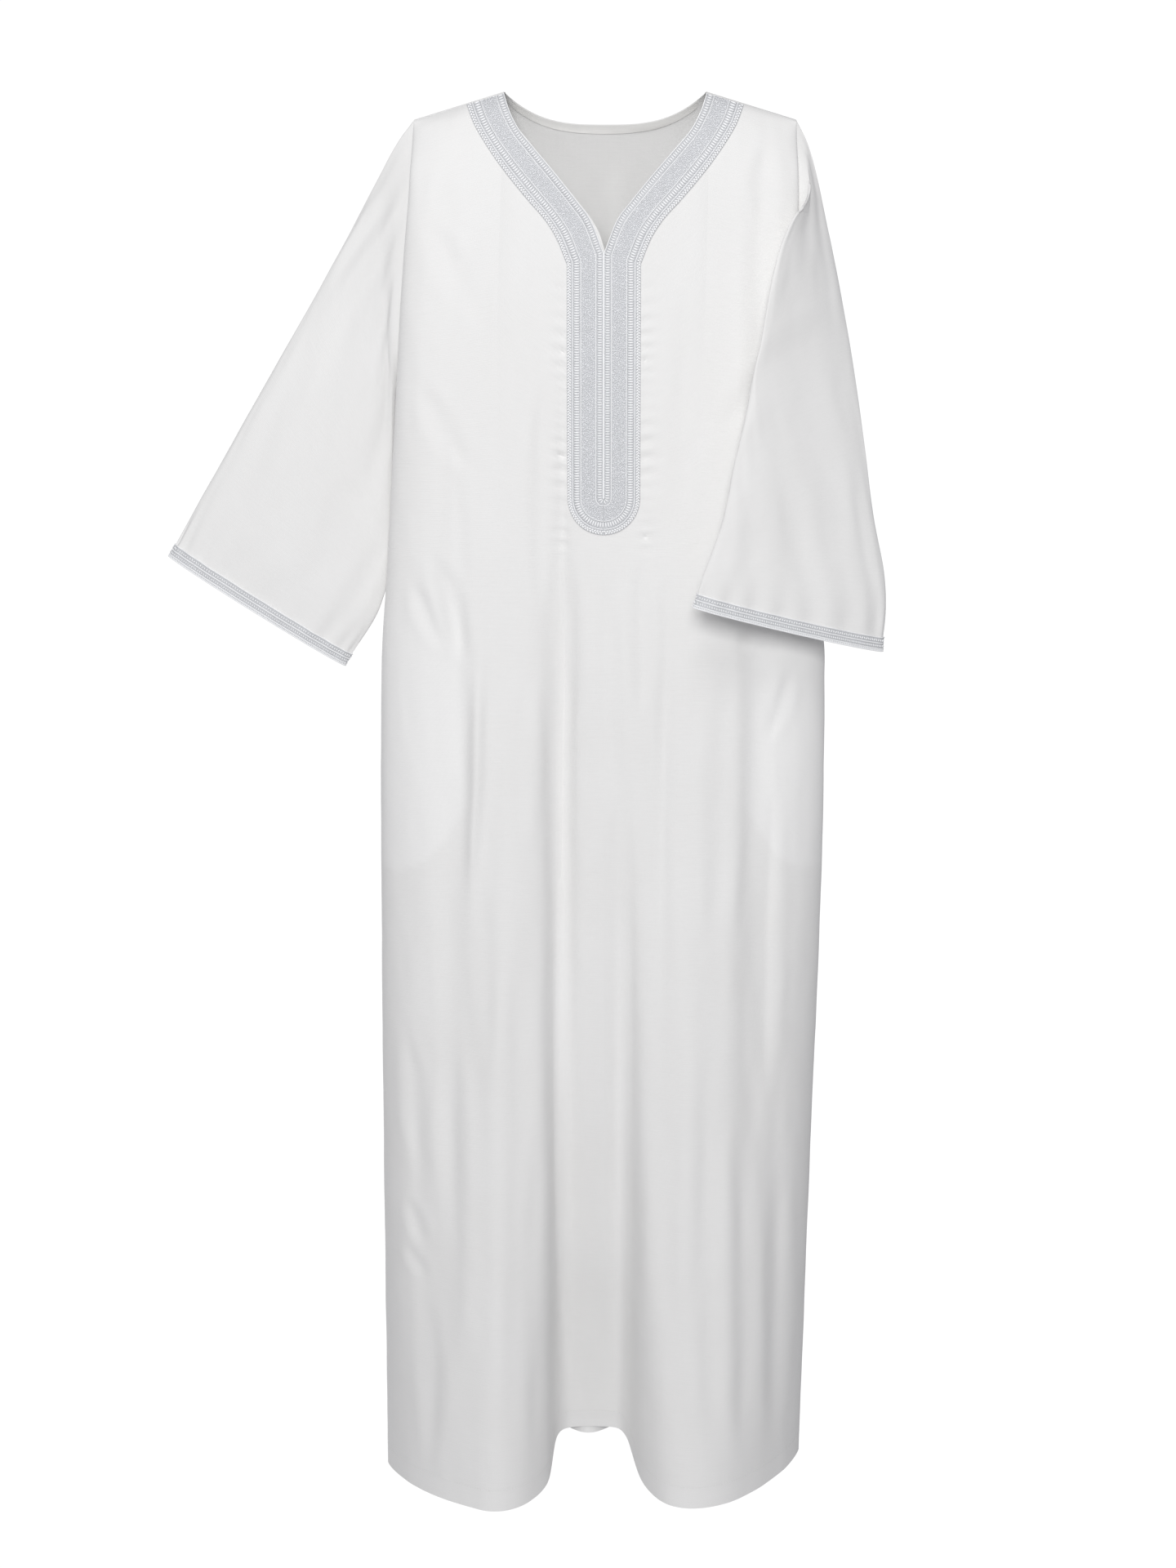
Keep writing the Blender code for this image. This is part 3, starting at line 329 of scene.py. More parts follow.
LEFT_SLEEVE_CREASES = (
    (0.02, 0.55, 0.3, 0.7, 0.13, 0.0009),
    (0.06, 0.3, 0.42, 0.42, 0.12, 0.001),
    (0.4, 0.8, 0.96, 0.95, 0.15, 0.001),
    (0.62, 1.45, 0.99, 1.35, 0.14, 0.0014),
    (0.66, 2.1, 0.98, 1.95, 0.13, 0.0012),
    (0.7, 0.45, 0.99, 0.55, 0.12, 0.001),
    (0.08, -0.8, 0.5, -0.7, 0.15, 0.0022),
    (0.1, -1.5, 0.6, -1.3, 0.15, 0.0024),
    (0.3, -2.2, 0.9, -2, 0.14, 0.002),
    (0.55, -1.1, 0.98, -1.2, 0.14, 0.0018),
)
# Sharp valleys of the front, in millimetres, in the order of the folds
VALLEYS = (
    (-42.5, -43.5, 200, 700, 1800, 13, 14),
    (24, 26, 600, 1000, 1800, 9, 3),
)
# Steps of the front, in the same order: beyond its line the cloth lies further back. A negative half width
# is that of a step towards -X.
STEPS = (
    (148, 149, 420, 650, 1800, 8, 14),
    (-149, -158, 420, 800, 1600, -7.5, 6),
)
SLEEVE_LENGTH = 0.50  # for the waves' lengths along a sleeve
SLEEVE_GIRTH = 0.075  # length round a sleeve for each radian of turn
SLEEVE_CREASE_ROUND = 0.8  # the smaller, the sooner a crease has its full depth
CUFF_PUCKERS = 17  # tucks round a sleeve's end
CUFF_PUCKER = 0.0027  # their depth
CUFF_PUCKER_FROM = 0.84  # share of the sleeve's length where they start
CUFF_PUCKER_SWING = 1.4  # unevenness of their spacing, as a turn
CUFF_PUCKER_SWINGS = 3
CUFF_FADE = 0.05
SLEEVE_SEAM_FADE = 0.03

CREASE_FADE = 0.30  # share of a crease's length over which it fades at each end
CREASE_TIP = 0.55  # width of a crease at its ends, as a share
RIDGE_SHARE = 0.30  # height of the ridges beside a crease, as a share of its depth
RIDGE_AWAY = 1.9  # their distance, in half widths
RIDGE_WIDE = 0.6
SLANT = 0.35  # spread of the waves' directions
BEND = 0.6
BEND_PACE = 1.7
PROBE = 0.0004  # step for slopes

# Short tucks beside the placket
PUCKER_AWAY = 0.004  # deepest at this distance from its edge
PUCKER_REACH = 0.010
PUCKER_EDGE = 0.0016
PUCKER_IN = 0.030  # length over which they start and end
PUCKER_PITCH = 0.0135
PUCKER_DEPTH = 0.0036
PUCKER_SIDE = 1.7  # turn by which the left side's tucks differ from the right side's
PUCKER_SWING = 1.9  # unevenness of their spacing, as a turn
PUCKER_SWING_PACE = 41
PUCKER_BOW = 60  # turn for each metre away from the placket
PUCKER_LEAST = 0.3  # depth of the shallowest tucks, as a share
PUCKER_DEPTH_PACE = 31

BACK_DEEPER = 1.7  # the back's creases are this much deeper than in their table
SEAM_FADE = 0.045  # in s
TOP_FADE = 0.012
PANEL_WAVES = {"count": 14, "longest": 0.22, "shortest": 0.05, "stretch": 4.5}
SLEEVE_WAVES = {"count": 12, "longest": 0.16, "shortest": 0.04, "stretch": 3.0}
LONG_WAVE = 0.0010  # height of the panels' waves
SLEEVE_WAVE = 0.0006
FINE_WAVE = 0.00025
FINE_APART = 0.3  # the front's and the back's fine waves are this far apart
HEM_FOLD = 0.020  # height of the hem's stitching
HEM_REACH = 3  # the stitching's dent ends this many times higher
STITCH_HALF = 0.0016
STITCH_DEPTH = 0.0004

# Rows of the neck trim, by their distance from its outer edge
CHAIN_AT = 0.0023
CORDS_AT = (0.0056, 0.0136, 0.0284)
LADDERS_AT = (0.0097, 0.0322)
LADDER_WIDTHS = (0.0066, 0.0056)
SEEDS_FROM = 0.0149
SEEDS_TO = 0.0277
MIDDLE_CORD = 0.012  # place of the middle line's two cords, as a share of the placket's half width
CHAIN_SLANT = 0.55
CHAIN_APART = 0.0009  # of each of the chain's two lines from its middle
CHAIN_PITCH = 0.0027
BAR_PITCH = 0.0025
SEED_PITCH = 0.00135
SEED_STRAY = 0.3  # how far a seed strays from its place, as a share of the pitch
SEED_SIZES = (0.75, 1.2)
SEED = 17  # of the random places

# Beads: length, width, height, sides. bead_shape narrows them to this share at this share of their height.
BEAD_SHOULDER = 0.72
CHAIN_BEAD = (0.0037, 0.0021, 0.0013, 8)
BAR_BEAD = (LADDER_WIDTHS[0], 0.0020, 0.0011, 8)
SEED_BEAD = (0.0019, 0.0010, 0.0006, 5)
CUFF_BEAD = (0.0030, 0.0015, 0.0009, 6)
STITCH_BEAD = (0.0024, 0.0005, 0.0004, 4)

CORD_RADIUS = 0.0005
CORD_SIDES = 6
CORD_POINTS = 260
CORD_RISE = 0.0002  # of a cord's middle over the beads' feet
BAND_LIFT = 0.0009  # of the beads' feet over the front
BAND_SINK = 0.0001  # the beads' feet are this much over the band
BAND_WALL = 0.0005
BAND_INNER = 0.004  # the two bands' inner edges, as a share of the half width
BAND_STEPS = 90
PLACKET_STEPS = 130
ROUND_STEPS = 36
TRIM_ACROSS = 26
TRIM_FIRST = 0.03
TRIM_ROWS = 230

CUFF_STEPS = 6
CUFF_LIFT = 0.0009
CUFF_BEADS = ((0.0108, 0.0026, 1.0), (0.0052, 0.0024, 0.9), (0.0012, 0.0016, 0.8))  # height, pitch, size
CUFF_SLANT = 0.5
CUFF_CORDS = (0.0138, 0.0080, 0.0026, 0.0002)
CUFF_CORD_RADIUS = 0.0006
STITCH_PITCH = 0.0032
STITCH_SINK = 0.0001
FACING_REACH = 0.092
FACING_STEPS = 5
FACING_FROM = 0.04
FACING_GAP = 0.0003
POCKET_STEPS = 40
POCKET_ACROSS = 20
POCKET_SEAM_SIDE = 0.93  # the s of a bag's edge at the side seam
POCKET_CLEAR = 0.0005
PATCH_EDGE = 0.0018
PATCH_FADE = 0.20  # the bags show less towards their top
HEM_SHARE = 0.35  # lighter tone of the turned-up hem, as a share of a pocket bag's
SLEEVE_CROWD = 1.15

CLOTH_ROUGHNESS = 0.82
THREADS = 330.0
WEAVE_DEPTH = 0.00016
SLUB_SCALE = (45, 1300, 1)
SLUB_HEIGHT = 1.6
DOUBLED = 1.025  # tone of the cloth with another layer behind it
MOTTLE_DARK = (0.975, 0.972, 0.968)
CLOTH_COLOUR = (0.868, 0.866, 0.862)
POCKET_COLOUR = (0.88, 0.875, 0.86)
BRAID_COLOUR = (0.61, 0.62, 0.64)
BRAID_DARK = (0.49, 0.50, 0.52)
THREAD_COLOUR = (0.975, 0.98, 0.99)
THREAD_DARK = (0.88, 0.89, 0.91)
SEED_COLOUR = (0.95, 0.96, 0.98)
SEED_DARK = (0.83, 0.84, 0.87)
STITCH_COLOUR = (0.78, 0.775, 0.77)

CAMERA_PLACE = (-0.0168, -2.6, -0.140)
CAMERA_TURN = (math.radians(78), 0.0, 0.0)
SENSOR = 36
FOCAL_PIXELS = 3146
PICTURE_HEIGHT = 1920

WORLD_SEEN = 1.05  # brightness of the ground behind the robe, to the camera
AMBIENT = 0.36  # and to the robe
AMBIENT_COLOUR = (0.965, 0.965, 1.0)
LIGHT_COLOUR = (1.0, 0.998, 0.99)
# Name, place, target, side and power of each light
LIGHTS = (
    ("key", (-0.20, -3.8, 0.85), (0, 0, -0.75), 1.2, 88),
    ("behind", (-1.6, 3.0, 1.0), (0, 0, -0.7), 1.2, 55),
    ("top", (-0.10, -1.5, 1.35), (0, 0, -0.3), 0.7, 7),
)
FLOOR_Z = -2.35
FLOOR_RADIUS = 1.3
FLOOR_EDGE = 0.02
FLOOR_SIDES = 96
FLOOR_COLOUR = (0.9, 0.9, 0.9)
FLOOR_HOLE = 0.001


def column(table, name):
    at = table["columns"].index(name)
    return np.array([row[at] for row in table["rows"]], dtype=float)


def read(table, name, where):
    """Smooth value of a named column, by its first column, with no overshoot between the rows."""
    keys = column(table, table["columns"][0])
    values = column(table, name)
    step = np.diff(keys)
    slope = np.diff(values) / step
    tangent = np.zeros(len(values))
    tangent[0] = slope[0]
    tangent[-1] = slope[-1]
    before = slope[:-1]
    after = slope[1:]
    same_way = before * after > 0
    mean = np.zeros(len(before))
    mean[same_way] = 2 * before[same_way] * after[same_way] / (before + after)[same_way]
    tangent[1:-1] = mean
    where = np.asarray(where, dtype=float)
    i = np.clip(np.searchsorted(keys, where, side="right") - 1, 0, len(step) - 1)
    t = np.clip((where - keys[i]) / step[i], 0, 1)
    rise = values[i] * (2 * t**3 - 3 * t**2 + 1) + values[i + 1] * (3 * t**2 - 2 * t**3)
    bend = tangent[i] * (t**3 - 2 * t**2 + t) + tangent[i + 1] * (t**3 - t**2)
    return rise + bend * step[i]


def smooth(t):
    t = np.clip(t, 0, 1)
    return t * t * (3 - 2 * t)


def wall_step(t):
    """0 far before a wall and 1 far past it."""
    return 1 / (1 + np.exp(-np.clip(t, -30, 30)))


def in_metres(rows):
    return [[value / MILLIMETRES for value in row] for row in rows]


def from_line(x, down, x_top, x_low, start, deepest, end):
    """Distance from a line down a panel, and the share of the full depth at each height."""
    along = np.clip((down - start) / (min(end, HEM_DOWN) - start), 0, 1)
    grow = smooth((down - start) / (deepest - start)) * smooth((end - down) / (end - deepest))
    return x - (x_top + (x_low - x_top) * along), grow


def fold_depth(folds, x, down):
    """Total depth of the folds, into the robe."""
    total = np.zeros(np.broadcast(x, down).shape)
    for *line, half, depth in in_metres(folds):
        away, grow = from_line(x, down, *line)
        total = total + depth * grow * np.exp(-((away / half) ** 2))
    return total


def recess_depth(x, down):
    left = x - read(RECESS, "left", down)
    right = read(RECESS, "right", down) - x
    steep_left = wall_step(left / read(RECESS, "left_wall", down))
    steep_right = wall_step(right / read(RECESS, "right_wall", down))
    round_left = wall_step((left + read(RECESS, "left_shoulder", down)) / SHOULDER_ROUND)
    round_right = wall_step((right + read(RECESS, "right_shoulder", down)) / SHOULDER_ROUND)
    soft = SHOULDER_SHARE * (round_left * round_right)
    return read(RECESS, "depth", down) * (soft + (1 - SHOULDER_SHARE) * (steep_left * steep_right))


def by_side(at_left, name, down):
    """Value of one of the body's sizes that has a column for each side."""
    return np.where(at_left, read(SECTIONS, "left_" + name, down), read(SECTIONS, "right_" + name, down))


def flat_and_turn(s):
    """Share of the panel's flat that is passed at s, and the turn round its side."""
    far = np.abs(s)
    turn = np.clip((far - FLAT_SHARE) / (TURN_SHARE - FLAT_SHARE), 0, 1) * math.pi / 2
    return np.clip(far / FLAT_SHARE, 0, 1), turn


def section(face, s, down):
    """Outer surface of the front (face -1) or back (face 1).

    s runs across: -1 at the right side's edge, 0 at the centre and 1 at the left side's edge.
    """
    s, down = np.broadcast_arrays(np.asarray(s, dtype=float), np.asarray(down, dtype=float))
    at_left = s >= 0
    side = np.where(at_left, 1.0, -1.0)
    out = by_side(at_left, "out", down)
    seam = by_side(at_left, "seam", down)
    seam_y = by_side(at_left, "y", down)
    corner = read(SECTIONS, "corner", down)
    depth = read(SECTIONS, "front" if face < 0 else "back", down)
    flat, turn = flat_and_turn(s)
    tuck = np.clip((np.abs(s) - TURN_SHARE) / (1 - TURN_SHARE), 0, 1)
    x = (out - corner) * flat + corner * np.sin(turn)
    under = np.maximum(down - SHOULDER_SLOPE * np.maximum(x - NECK_X, 0), 0)
    face_y = face * depth * np.tanh(RIDGE_ROUND * np.sqrt(under) / depth)
    gap = np.minimum(read(SECTIONS, "gap", down), np.abs(face_y - seam_y))
    side_y = seam_y + face * gap
    full = np.cos(turn) ** read(SECTIONS, "round", down)
    y = side_y + (face_y - side_y) * full
    folds = FRONT_FOLDS if face < 0 else BACK_FOLDS
    into = fold_depth(folds, side * x, down)
    if face < 0:
        into = into + recess_depth(side * x, down)
    y = y - face * into * np.sqrt(np.cos(turn))
    opening = np.where(down < ARMPIT_DOWN, read(ARMHOLE, "half", down), 0.0)
    end_y = seam_y + face * np.minimum(opening, gap)
    y = y + (end_y - side_y) * tuck
    x = x + (seam - out) * smooth(tuck)
    return np.stack([side * x, y, -down], axis=-1)


def top_x(s):
    """Distance from the centre of a panel's top edge, at s across."""
    flat, turn = flat_and_turn(s)
    corner = SECTIONS["rows"][0][-1]
    return (SHOULDER_X - corner) * flat + corner * np.sin(turn)


def front_top(s):
    x = top_x(s)
    shoulder = SEAM_DOWN + SHOULDER_SLOPE * (x - NECK_X)
    return np.where(x < NECK_X, read(NECKLINE, "down", x), shoulder)


def back_top(s):
    """Ridge of the shoulder, and the back neckline between the neck points."""
    x = top_x(s)
    neck = BACK_NECK_DOWN * (1 - np.minimum(x / NECK_X, 1) ** BACK_NECK_ROUND)
    return np.where(x < NECK_X, neck, SHOULDER_SLOPE * (x - NECK_X))


def hem_down(face, s, point_x):
    if face > 0:
        return np.full(np.shape(s), HEM_DOWN)
    left = point_x - float(read(RECESS, "left", HEM_DOWN))
    right = float(read(RECESS, "right", HEM_DOWN)) - point_x
    lift = wall_step(left / LIFT_ROUND) * wall_step(right / LIFT_ROUND)
    return HEM_DOWN - RECESS_LIFT * lift


def row_points(face, s, row):
    """Points of a panel's row at s across. A row is its depth at the side edge."""
    top = front_top(s) if face < 0 else back_top(s)
    tip = front_top(1.0) if face < 0 else back_top(1.0)
    if row <= LEVEL_DOWN:
        down = top + (LEVEL_DOWN - top) * (row - tip) / (LEVEL_DOWN - tip)
    else:
        level = np.full(np.shape(s), row)
        hem = hem_down(face, s, section(face, s, level)[..., 0])
        down = LEVEL_DOWN + (hem - LEVEL_DOWN) * (row - LEVEL_DOWN) / (HEM_DOWN - LEVEL_DOWN)
    return section(face, s, down)


def grid_normals(grid, around=False):
    """Outward unit normals of a grid whose rows go down and whose columns go to +X on the front."""
    down = np.gradient(grid, axis=0)
    if around:
        across = (np.roll(grid, -1, axis=1) - np.roll(grid, 1, axis=1)) / 2
    else:
        across = np.gradient(grid, axis=1)
    return unit(np.cross(down, across))


def unit(vectors):
    return vectors / np.maximum(np.linalg.norm(vectors, axis=-1, keepdims=True), 1e-12)


def run_along(points):
    """Length along a line at each of its points."""
    return np.concatenate([[0], np.cumsum(np.linalg.norm(np.diff(points, axis=0), axis=1))])


def at_lengths(places, run, line):
    """Values of a line at lengths along it."""
    return np.stack([np.interp(places, run, line[:, k]) for k in range(line.shape[1])], axis=-1)


def frames_from(ahead, off):
    """Directions along a row, across it and off the cloth."""
    along = unit(ahead - off * (ahead * off).sum(axis=-1, keepdims=True))
    return np.stack([along, np.cross(off, along), off], axis=-1)


def turn_along(points):
    """Turn at each point of half an armhole, from its length."""
    run = run_along(points)
    return run / run[-1] * math.pi


def sleeve_rail(table, rail, side, along):
    x, y, z = (float(read(table, rail + axis, along)) for axis in ("_x", "_y", "_z"))
    return np.array([side * x, y, z])


def sleeve_ring(table, side, along, turns):
    """Flattened tube through the sleeve's two edges and the middles of its front and back."""
    top = sleeve_rail(table, "top", side, along)
    low = sleeve_rail(table, "low", side, along)
    centre = (top + low) / 2
    front = sleeve_rail(table, "front", side, along) - centre
    back = sleeve_rail(table, "back", side, along) - centre
    crease = float(read(table, "crease", along))
    across = np.sin(turns)[:, None]
    upward = np.cos(turns)[:, None]
    bulge = np.where(across > 0, front, back) * np.abs(across) ** crease
    parting = np.maximum(across, 0) * upward * 2 * float(read(table, "puff", along))
    layers = np.array([0.0, -1.0, 0.0]) * parting
    return centre + np.sign(upward) * np.abs(upward) ** crease * (top - centre) + bulge + layers


def front_across(x, down):
    """The s of a point on the front's flat part, from its distance from the centre."""
    return x / (by_side(x >= 0, "out", down) - read(SECTIONS, "corner", down)) * FLAT_SHARE


def segment_relief(table, x, down):
    """Depth of the creases in a table. Each runs from its first end to its last one and fades at both."""
    total = np.zeros(np.broadcast(x, down).shape)
    for x1, down1, x2, down2, half, depth, bow in in_metres(table):
        along_x = x2 - x1
        along_down = down2 - down1
        length = math.hypot(along_x, along_down)
        unit_x = along_x / length
        unit_down = along_down / length
        t = ((x - x1) * unit_x + (down - down1) * unit_down) / length
        inside = np.clip(t, 0, 1)
        off = (x - x1) * unit_down - (down - down1) * unit_x - bow * 4 * inside * (1 - inside)
        fade = smooth(t / CREASE_FADE) * smooth((1 - t) / CREASE_FADE)
        width = half * (CREASE_TIP + (1 - CREASE_TIP) * np.sin(math.pi * inside))
        total = total + depth * fade * crease_profile(off / width)
    return total


def valley_relief(x, down):
    """Depth of the sharp valleys and of the steps towards the sides."""
    total = np.zeros(np.broadcast(x, down).shape)
    for *line, half, depth in in_metres(VALLEYS):
        away, grow = from_line(x, down, *line)
        total = total + depth * grow * np.exp(-np.abs(away) / half)
    for *line, half, depth in in_metres(STEPS):
        away, grow = from_line(x, down, *line)
        total = total + depth * grow * wall_step(away / half)
    return total


def crease_profile(t):
    """A trough at 0 with a low ridge on either side."""
    return np.exp(-t * t) - RIDGE_SHARE * np.exp(-((np.abs(t) - RIDGE_AWAY) ** 2) / RIDGE_WIDE)


def make_waves(seed, count, longest, shortest, stretch):
    """Directions and lengths of a soft unevenness that is longer down the cloth than across it."""
    draw = np.random.default_rng(seed)
    waves = []
    for _ in range(count):
        size = shortest * (longest / shortest) ** draw.random()
        slant = draw.normal(0, SLANT)
        number = 2 * math.pi / size
        waves.append((number * math.cos(slant), number * math.sin(slant) / stretch,
                      2 * math.pi * draw.random(), size / longest))
    return waves


def wave_relief(waves, x, down):
    total = 0
    for across, along, phase, size in waves:
        bend = BEND * np.sin(along * down * BEND_PACE + phase)
        total = total + size * np.sin(across * x + along * down + phase + bend)
    return total / math.sqrt(len(waves))


def pucker_relief(x, down):
    """Short tucks in the front beside the placket's edges, where its stitching draws the cloth in."""
    beyond = np.abs(x - PLACKET_CENTRE) - PLACKET_HALF
    start = NECK_BAND["rows"][-1][4]
    near = np.exp(-((beyond - PUCKER_AWAY) / PUCKER_REACH) ** 2) * wall_step(beyond / PUCKER_EDGE)
    level = smooth((down - start) / PUCKER_IN) * smooth((PLACKET_END + PUCKER_IN - down) / PUCKER_IN)
    side = np.where(x > PLACKET_CENTRE, PUCKER_SIDE, 0.0)
    swing = PUCKER_SWING * np.sin(down * PUCKER_SWING_PACE + side)
    phase = 2 * math.pi * down / PUCKER_PITCH + side + swing + beyond * PUCKER_BOW
    uneven = PUCKER_LEAST + (1 - PUCKER_LEAST) * np.sin(down * PUCKER_DEPTH_PACE + 2 * side) ** 2
    return PUCKER_DEPTH * near * level * uneven * (0.5 + 0.5 * np.sin(phase)) ** 2


def edge_fade(face, s, down):
    """0 at a panel's seams and free edges and 1 away from them."""
    side = smooth((1 - np.abs(s)) / SEAM_FADE)
    top = front_top(s) if face < 0 else back_top(s)
    return side * smooth((down - top) / TOP_FADE)


def relief(face, s, points):
    """How far the cloth of a panel lies inside its plain surface."""
    x = points[..., 0]
    down = -points[..., 2]
    if face < 0:
        turn = flat_and_turn(s)[1]
        into = segment_relief(FRONT_CREASES, x, down) + pucker_relief(x, down)
        into = into + valley_relief(x, down) * np.cos(turn)
        into = into + LONG_WAVE * wave_relief(FRONT_WAVES, x, down)
    else:
        into = BACK_DEEPER * segment_relief(BACK_CREASES, x, down)
        into = into + LONG_WAVE * wave_relief(BACK_WAVES, x, down)
    into = into + FINE_WAVE * wave_relief(FINE_WAVES, x + FINE_APART * face, down)
    into = into * edge_fade(face, s, down)
    stitched = np.exp(-(((HEM_DOWN - HEM_FOLD - down) / STITCH_HALF) ** 2))
    return into + STITCH_DEPTH * stitched * (down > HEM_DOWN - HEM_REACH * HEM_FOLD)


def spread_columns(face, row, columns):
    """Values of s for a row, closer together where the cloth turns sharply, with one at each neck point."""
    tip = float(front_top(1.0) if face < 0 else back_top(1.0))
    halves = []
    for side in (-1.0, 1.0):
        far = np.linspace(0, 1, DENSE)
        points = row_points(face, side * far, row)
        step = np.diff(points, axis=0)
        heading = np.unwrap(np.arctan2(step[:, 1], step[:, 0]))
        turned = np.abs(np.gradient(heading))
        run = np.concatenate([[0], np.cumsum(np.linalg.norm(step, axis=1) + TURN_WEIGHT * turned)])
        neck_far = np.interp(NECK_X, top_x(far), far)
        neck_run = np.interp(neck_far, far, run) / run[-1]
        blend = smooth((row - tip) / (LEVEL_DOWN - tip))
        share = neck_run + (NECK_SHARE - neck_run) * blend
        count = round(NECK_SHARE * columns)
        inner = np.linspace(0, share, count + 1)
        outer = np.linspace(share, 1, columns - count + 1)[1:]
        halves.append(side * np.interp(np.concatenate([inner, outer]) * run[-1], run, far))
    return np.concatenate([halves[0][:0:-1], halves[1]])


def panel_rows(face):
    """Depths of the rows at the side edge: close together at the shoulder."""
    tip = float(front_top(1.0) if face < 0 else back_top(1.0))
    armhole = tip + (ARMPIT_DOWN - tip) * np.linspace(0, 1, ARMHOLE_ROWS + 1) ** ROW_CROWD
    upper = np.linspace(ARMPIT_DOWN, LEVEL_DOWN, UPPER_ROWS + 1)[1:]
    lower = np.linspace(LEVEL_DOWN, HEM_DOWN, LOWER_ROWS + 1)[1:]
    return np.concatenate([armhole, upper, lower])


def front_cloth_grid():
    grid = []
    across = []
    for row in panel_rows(-1):
        s = spread_columns(-1, row, PANEL_COLUMNS)
        grid.append(row_points(-1, s, row))
        across.append(s)
    return np.array(grid), np.array(across)


def back_cloth_grid():
    """The first rows come over the shoulder from its seam. Between the neck points they start the edge."""
    rows = panel_rows(1)
    grid = []
    across = []
    s = spread_columns(1, rows[0], PANEL_COLUMNS)
    x = top_x(s)
    neck = x < NECK_X - NEAR
    for k in range(RIDGE_ROWS):
        t = 1 - k / RIDGE_ROWS
        over = np.stack([np.sign(s) * x, np.full(len(s), -RIDGE_ROUND * math.sqrt(SEAM_DOWN) * t),
                         -back_top(s) - SEAM_DOWN * t * t], axis=-1)
        under = section(1, s, back_top(s) + BACK_NECK_EDGE * k / RIDGE_ROWS)
        grid.append(np.where(neck[:, None], under, over))
        across.append(s)
    for row in rows:
        s = spread_columns(1, row, PANEL_COLUMNS)
        points = row_points(1, s, row)
        if row < LEVEL_DOWN:
            top = back_top(s)
            share = (row - rows[0]) / (LEVEL_DOWN - rows[0])
            neck = top_x(s) < NECK_X - NEAR
            lower = section(1, s, top + BACK_NECK_EDGE + (LEVEL_DOWN - top - BACK_NECK_EDGE) * share)
            points = np.where(neck[:, None], lower, points)
        grid.append(points)
        across.append(s)
    return np.array(grid)[:, ::-1], np.array(across)[:, ::-1]


def sleeve_surface(table, side, loop, turns, alongs):
    """Rings of a sleeve. loop is the armhole, which the first ones follow."""
    start = sleeve_ring(table, side, 0.0, turns)
    rings = []
    for along in alongs:
        keep = 1 - smooth(along / SLEEVE_BLEND)
        rings.append(sleeve_ring(table, side, along, turns) + (loop - start) * keep)
    return np.array(rings)


def sleeve_relief(creases, waves, side, alongs, turns):
    """How far a sleeve's cloth lies inside its plain surface, by share of its length and turn round it."""
    along = alongs[:, None]
    turn = turns[None, :]
    total = np.zeros(np.broadcast(along, turn).shape)
    for along1, turn1, along2, turn2, half, depth in creases:
        run = np.clip((along - along1) / (along2 - along1), 0, 1)
        centre = turn1 + (turn2 - turn1) * run
        off = (np.mod(turn - centre + math.pi, 2 * math.pi) - math.pi) / half
        total = total + depth * np.sin(math.pi * run) ** SLEEVE_CREASE_ROUND * crease_profile(off)
    down = along * SLEEVE_LENGTH
    total = total + SLEEVE_WAVE * wave_relief(waves, turn * SLEEVE_GIRTH, down)
    total = total + FINE_WAVE * wave_relief(FINE_WAVES, turn * SLEEVE_GIRTH + side, down)
    swing = CUFF_PUCKER_SWING * np.sin(turn * CUFF_PUCKER_SWINGS + side)
    pucker = 0.5 + 0.5 * np.sin(turn * CUFF_PUCKERS + swing)
    near_cuff = smooth((along - CUFF_PUCKER_FROM) / (1 - CUFF_PUCKER_FROM))
    total = total + CUFF_PUCKER * pucker * near_cuff * (along < 1)
    return total * smooth(along / SLEEVE_SEAM_FADE) * smooth((1 - along) / CUFF_FADE)


def armhole_edge(front, back, side):
    """Points of the armhole and their turns: 0 on top, pi at the armpit, negative at the back."""
    front_edge = front[:ARMHOLE_ROWS + 1, -1 if side > 0 else 0]
    back_edge = back[RIDGE_ROWS:RIDGE_ROWS + ARMHOLE_ROWS + 1, 0 if side > 0 else -1]
    ridge = back[:RIDGE_ROWS + 1, 0 if side > 0 else -1]
    behind = np.concatenate([ridge[1:], back_edge[1:]])
    front_turn = turn_along(front_edge)
    back_turn = -turn_along(np.concatenate([front_edge[:1], behind]))[1:]
    if side > 0:
        loop = np.concatenate([front_edge[::-1], behind[:-1]])
        turns = np.concatenate([front_turn[::-1], back_turn[:-1]])
    else:
        loop = np.concatenate([front_edge, behind[-2::-1]])
        turns = np.concatenate([front_turn, back_turn[-2::-1]])
    return loop, turns


def grid_faces(rows, columns, around, start=0, turned=False):
    """Corner numbers of a grid's faces."""
    across = columns if around else columns - 1
    i, j = np.meshgrid(np.arange(rows - 1), np.arange(across), indexing="ij")
    after = (j + 1) % columns
    corners = (i * columns + j, (i + 1) * columns + j, (i + 1) * columns + after, i * columns + after)
    faces = np.stack(corners, axis=-1).reshape(-1, 4) + start
    return faces[:, ::-1] if turned else faces


def rim_faces(rows, columns, around, start):
    """Faces that join the two sides of a shell along its free edges."""
    def strip(line, closed):
        after = np.roll(line, -1) if closed else line[1:]
        line = line if closed else line[:-1]
        return np.stack([line, after, after + start, line + start], axis=-1)

    top = np.arange(columns)
    low = (rows - 1) * columns + np.arange(columns)
    strips = [strip(top, around), strip(low[::-1], around)]
    if not around:
        first = np.arange(rows) * columns
        strips.append(strip(first[::-1], False))
        strips.append(strip(first + columns - 1, False))
    return np.concatenate(strips)


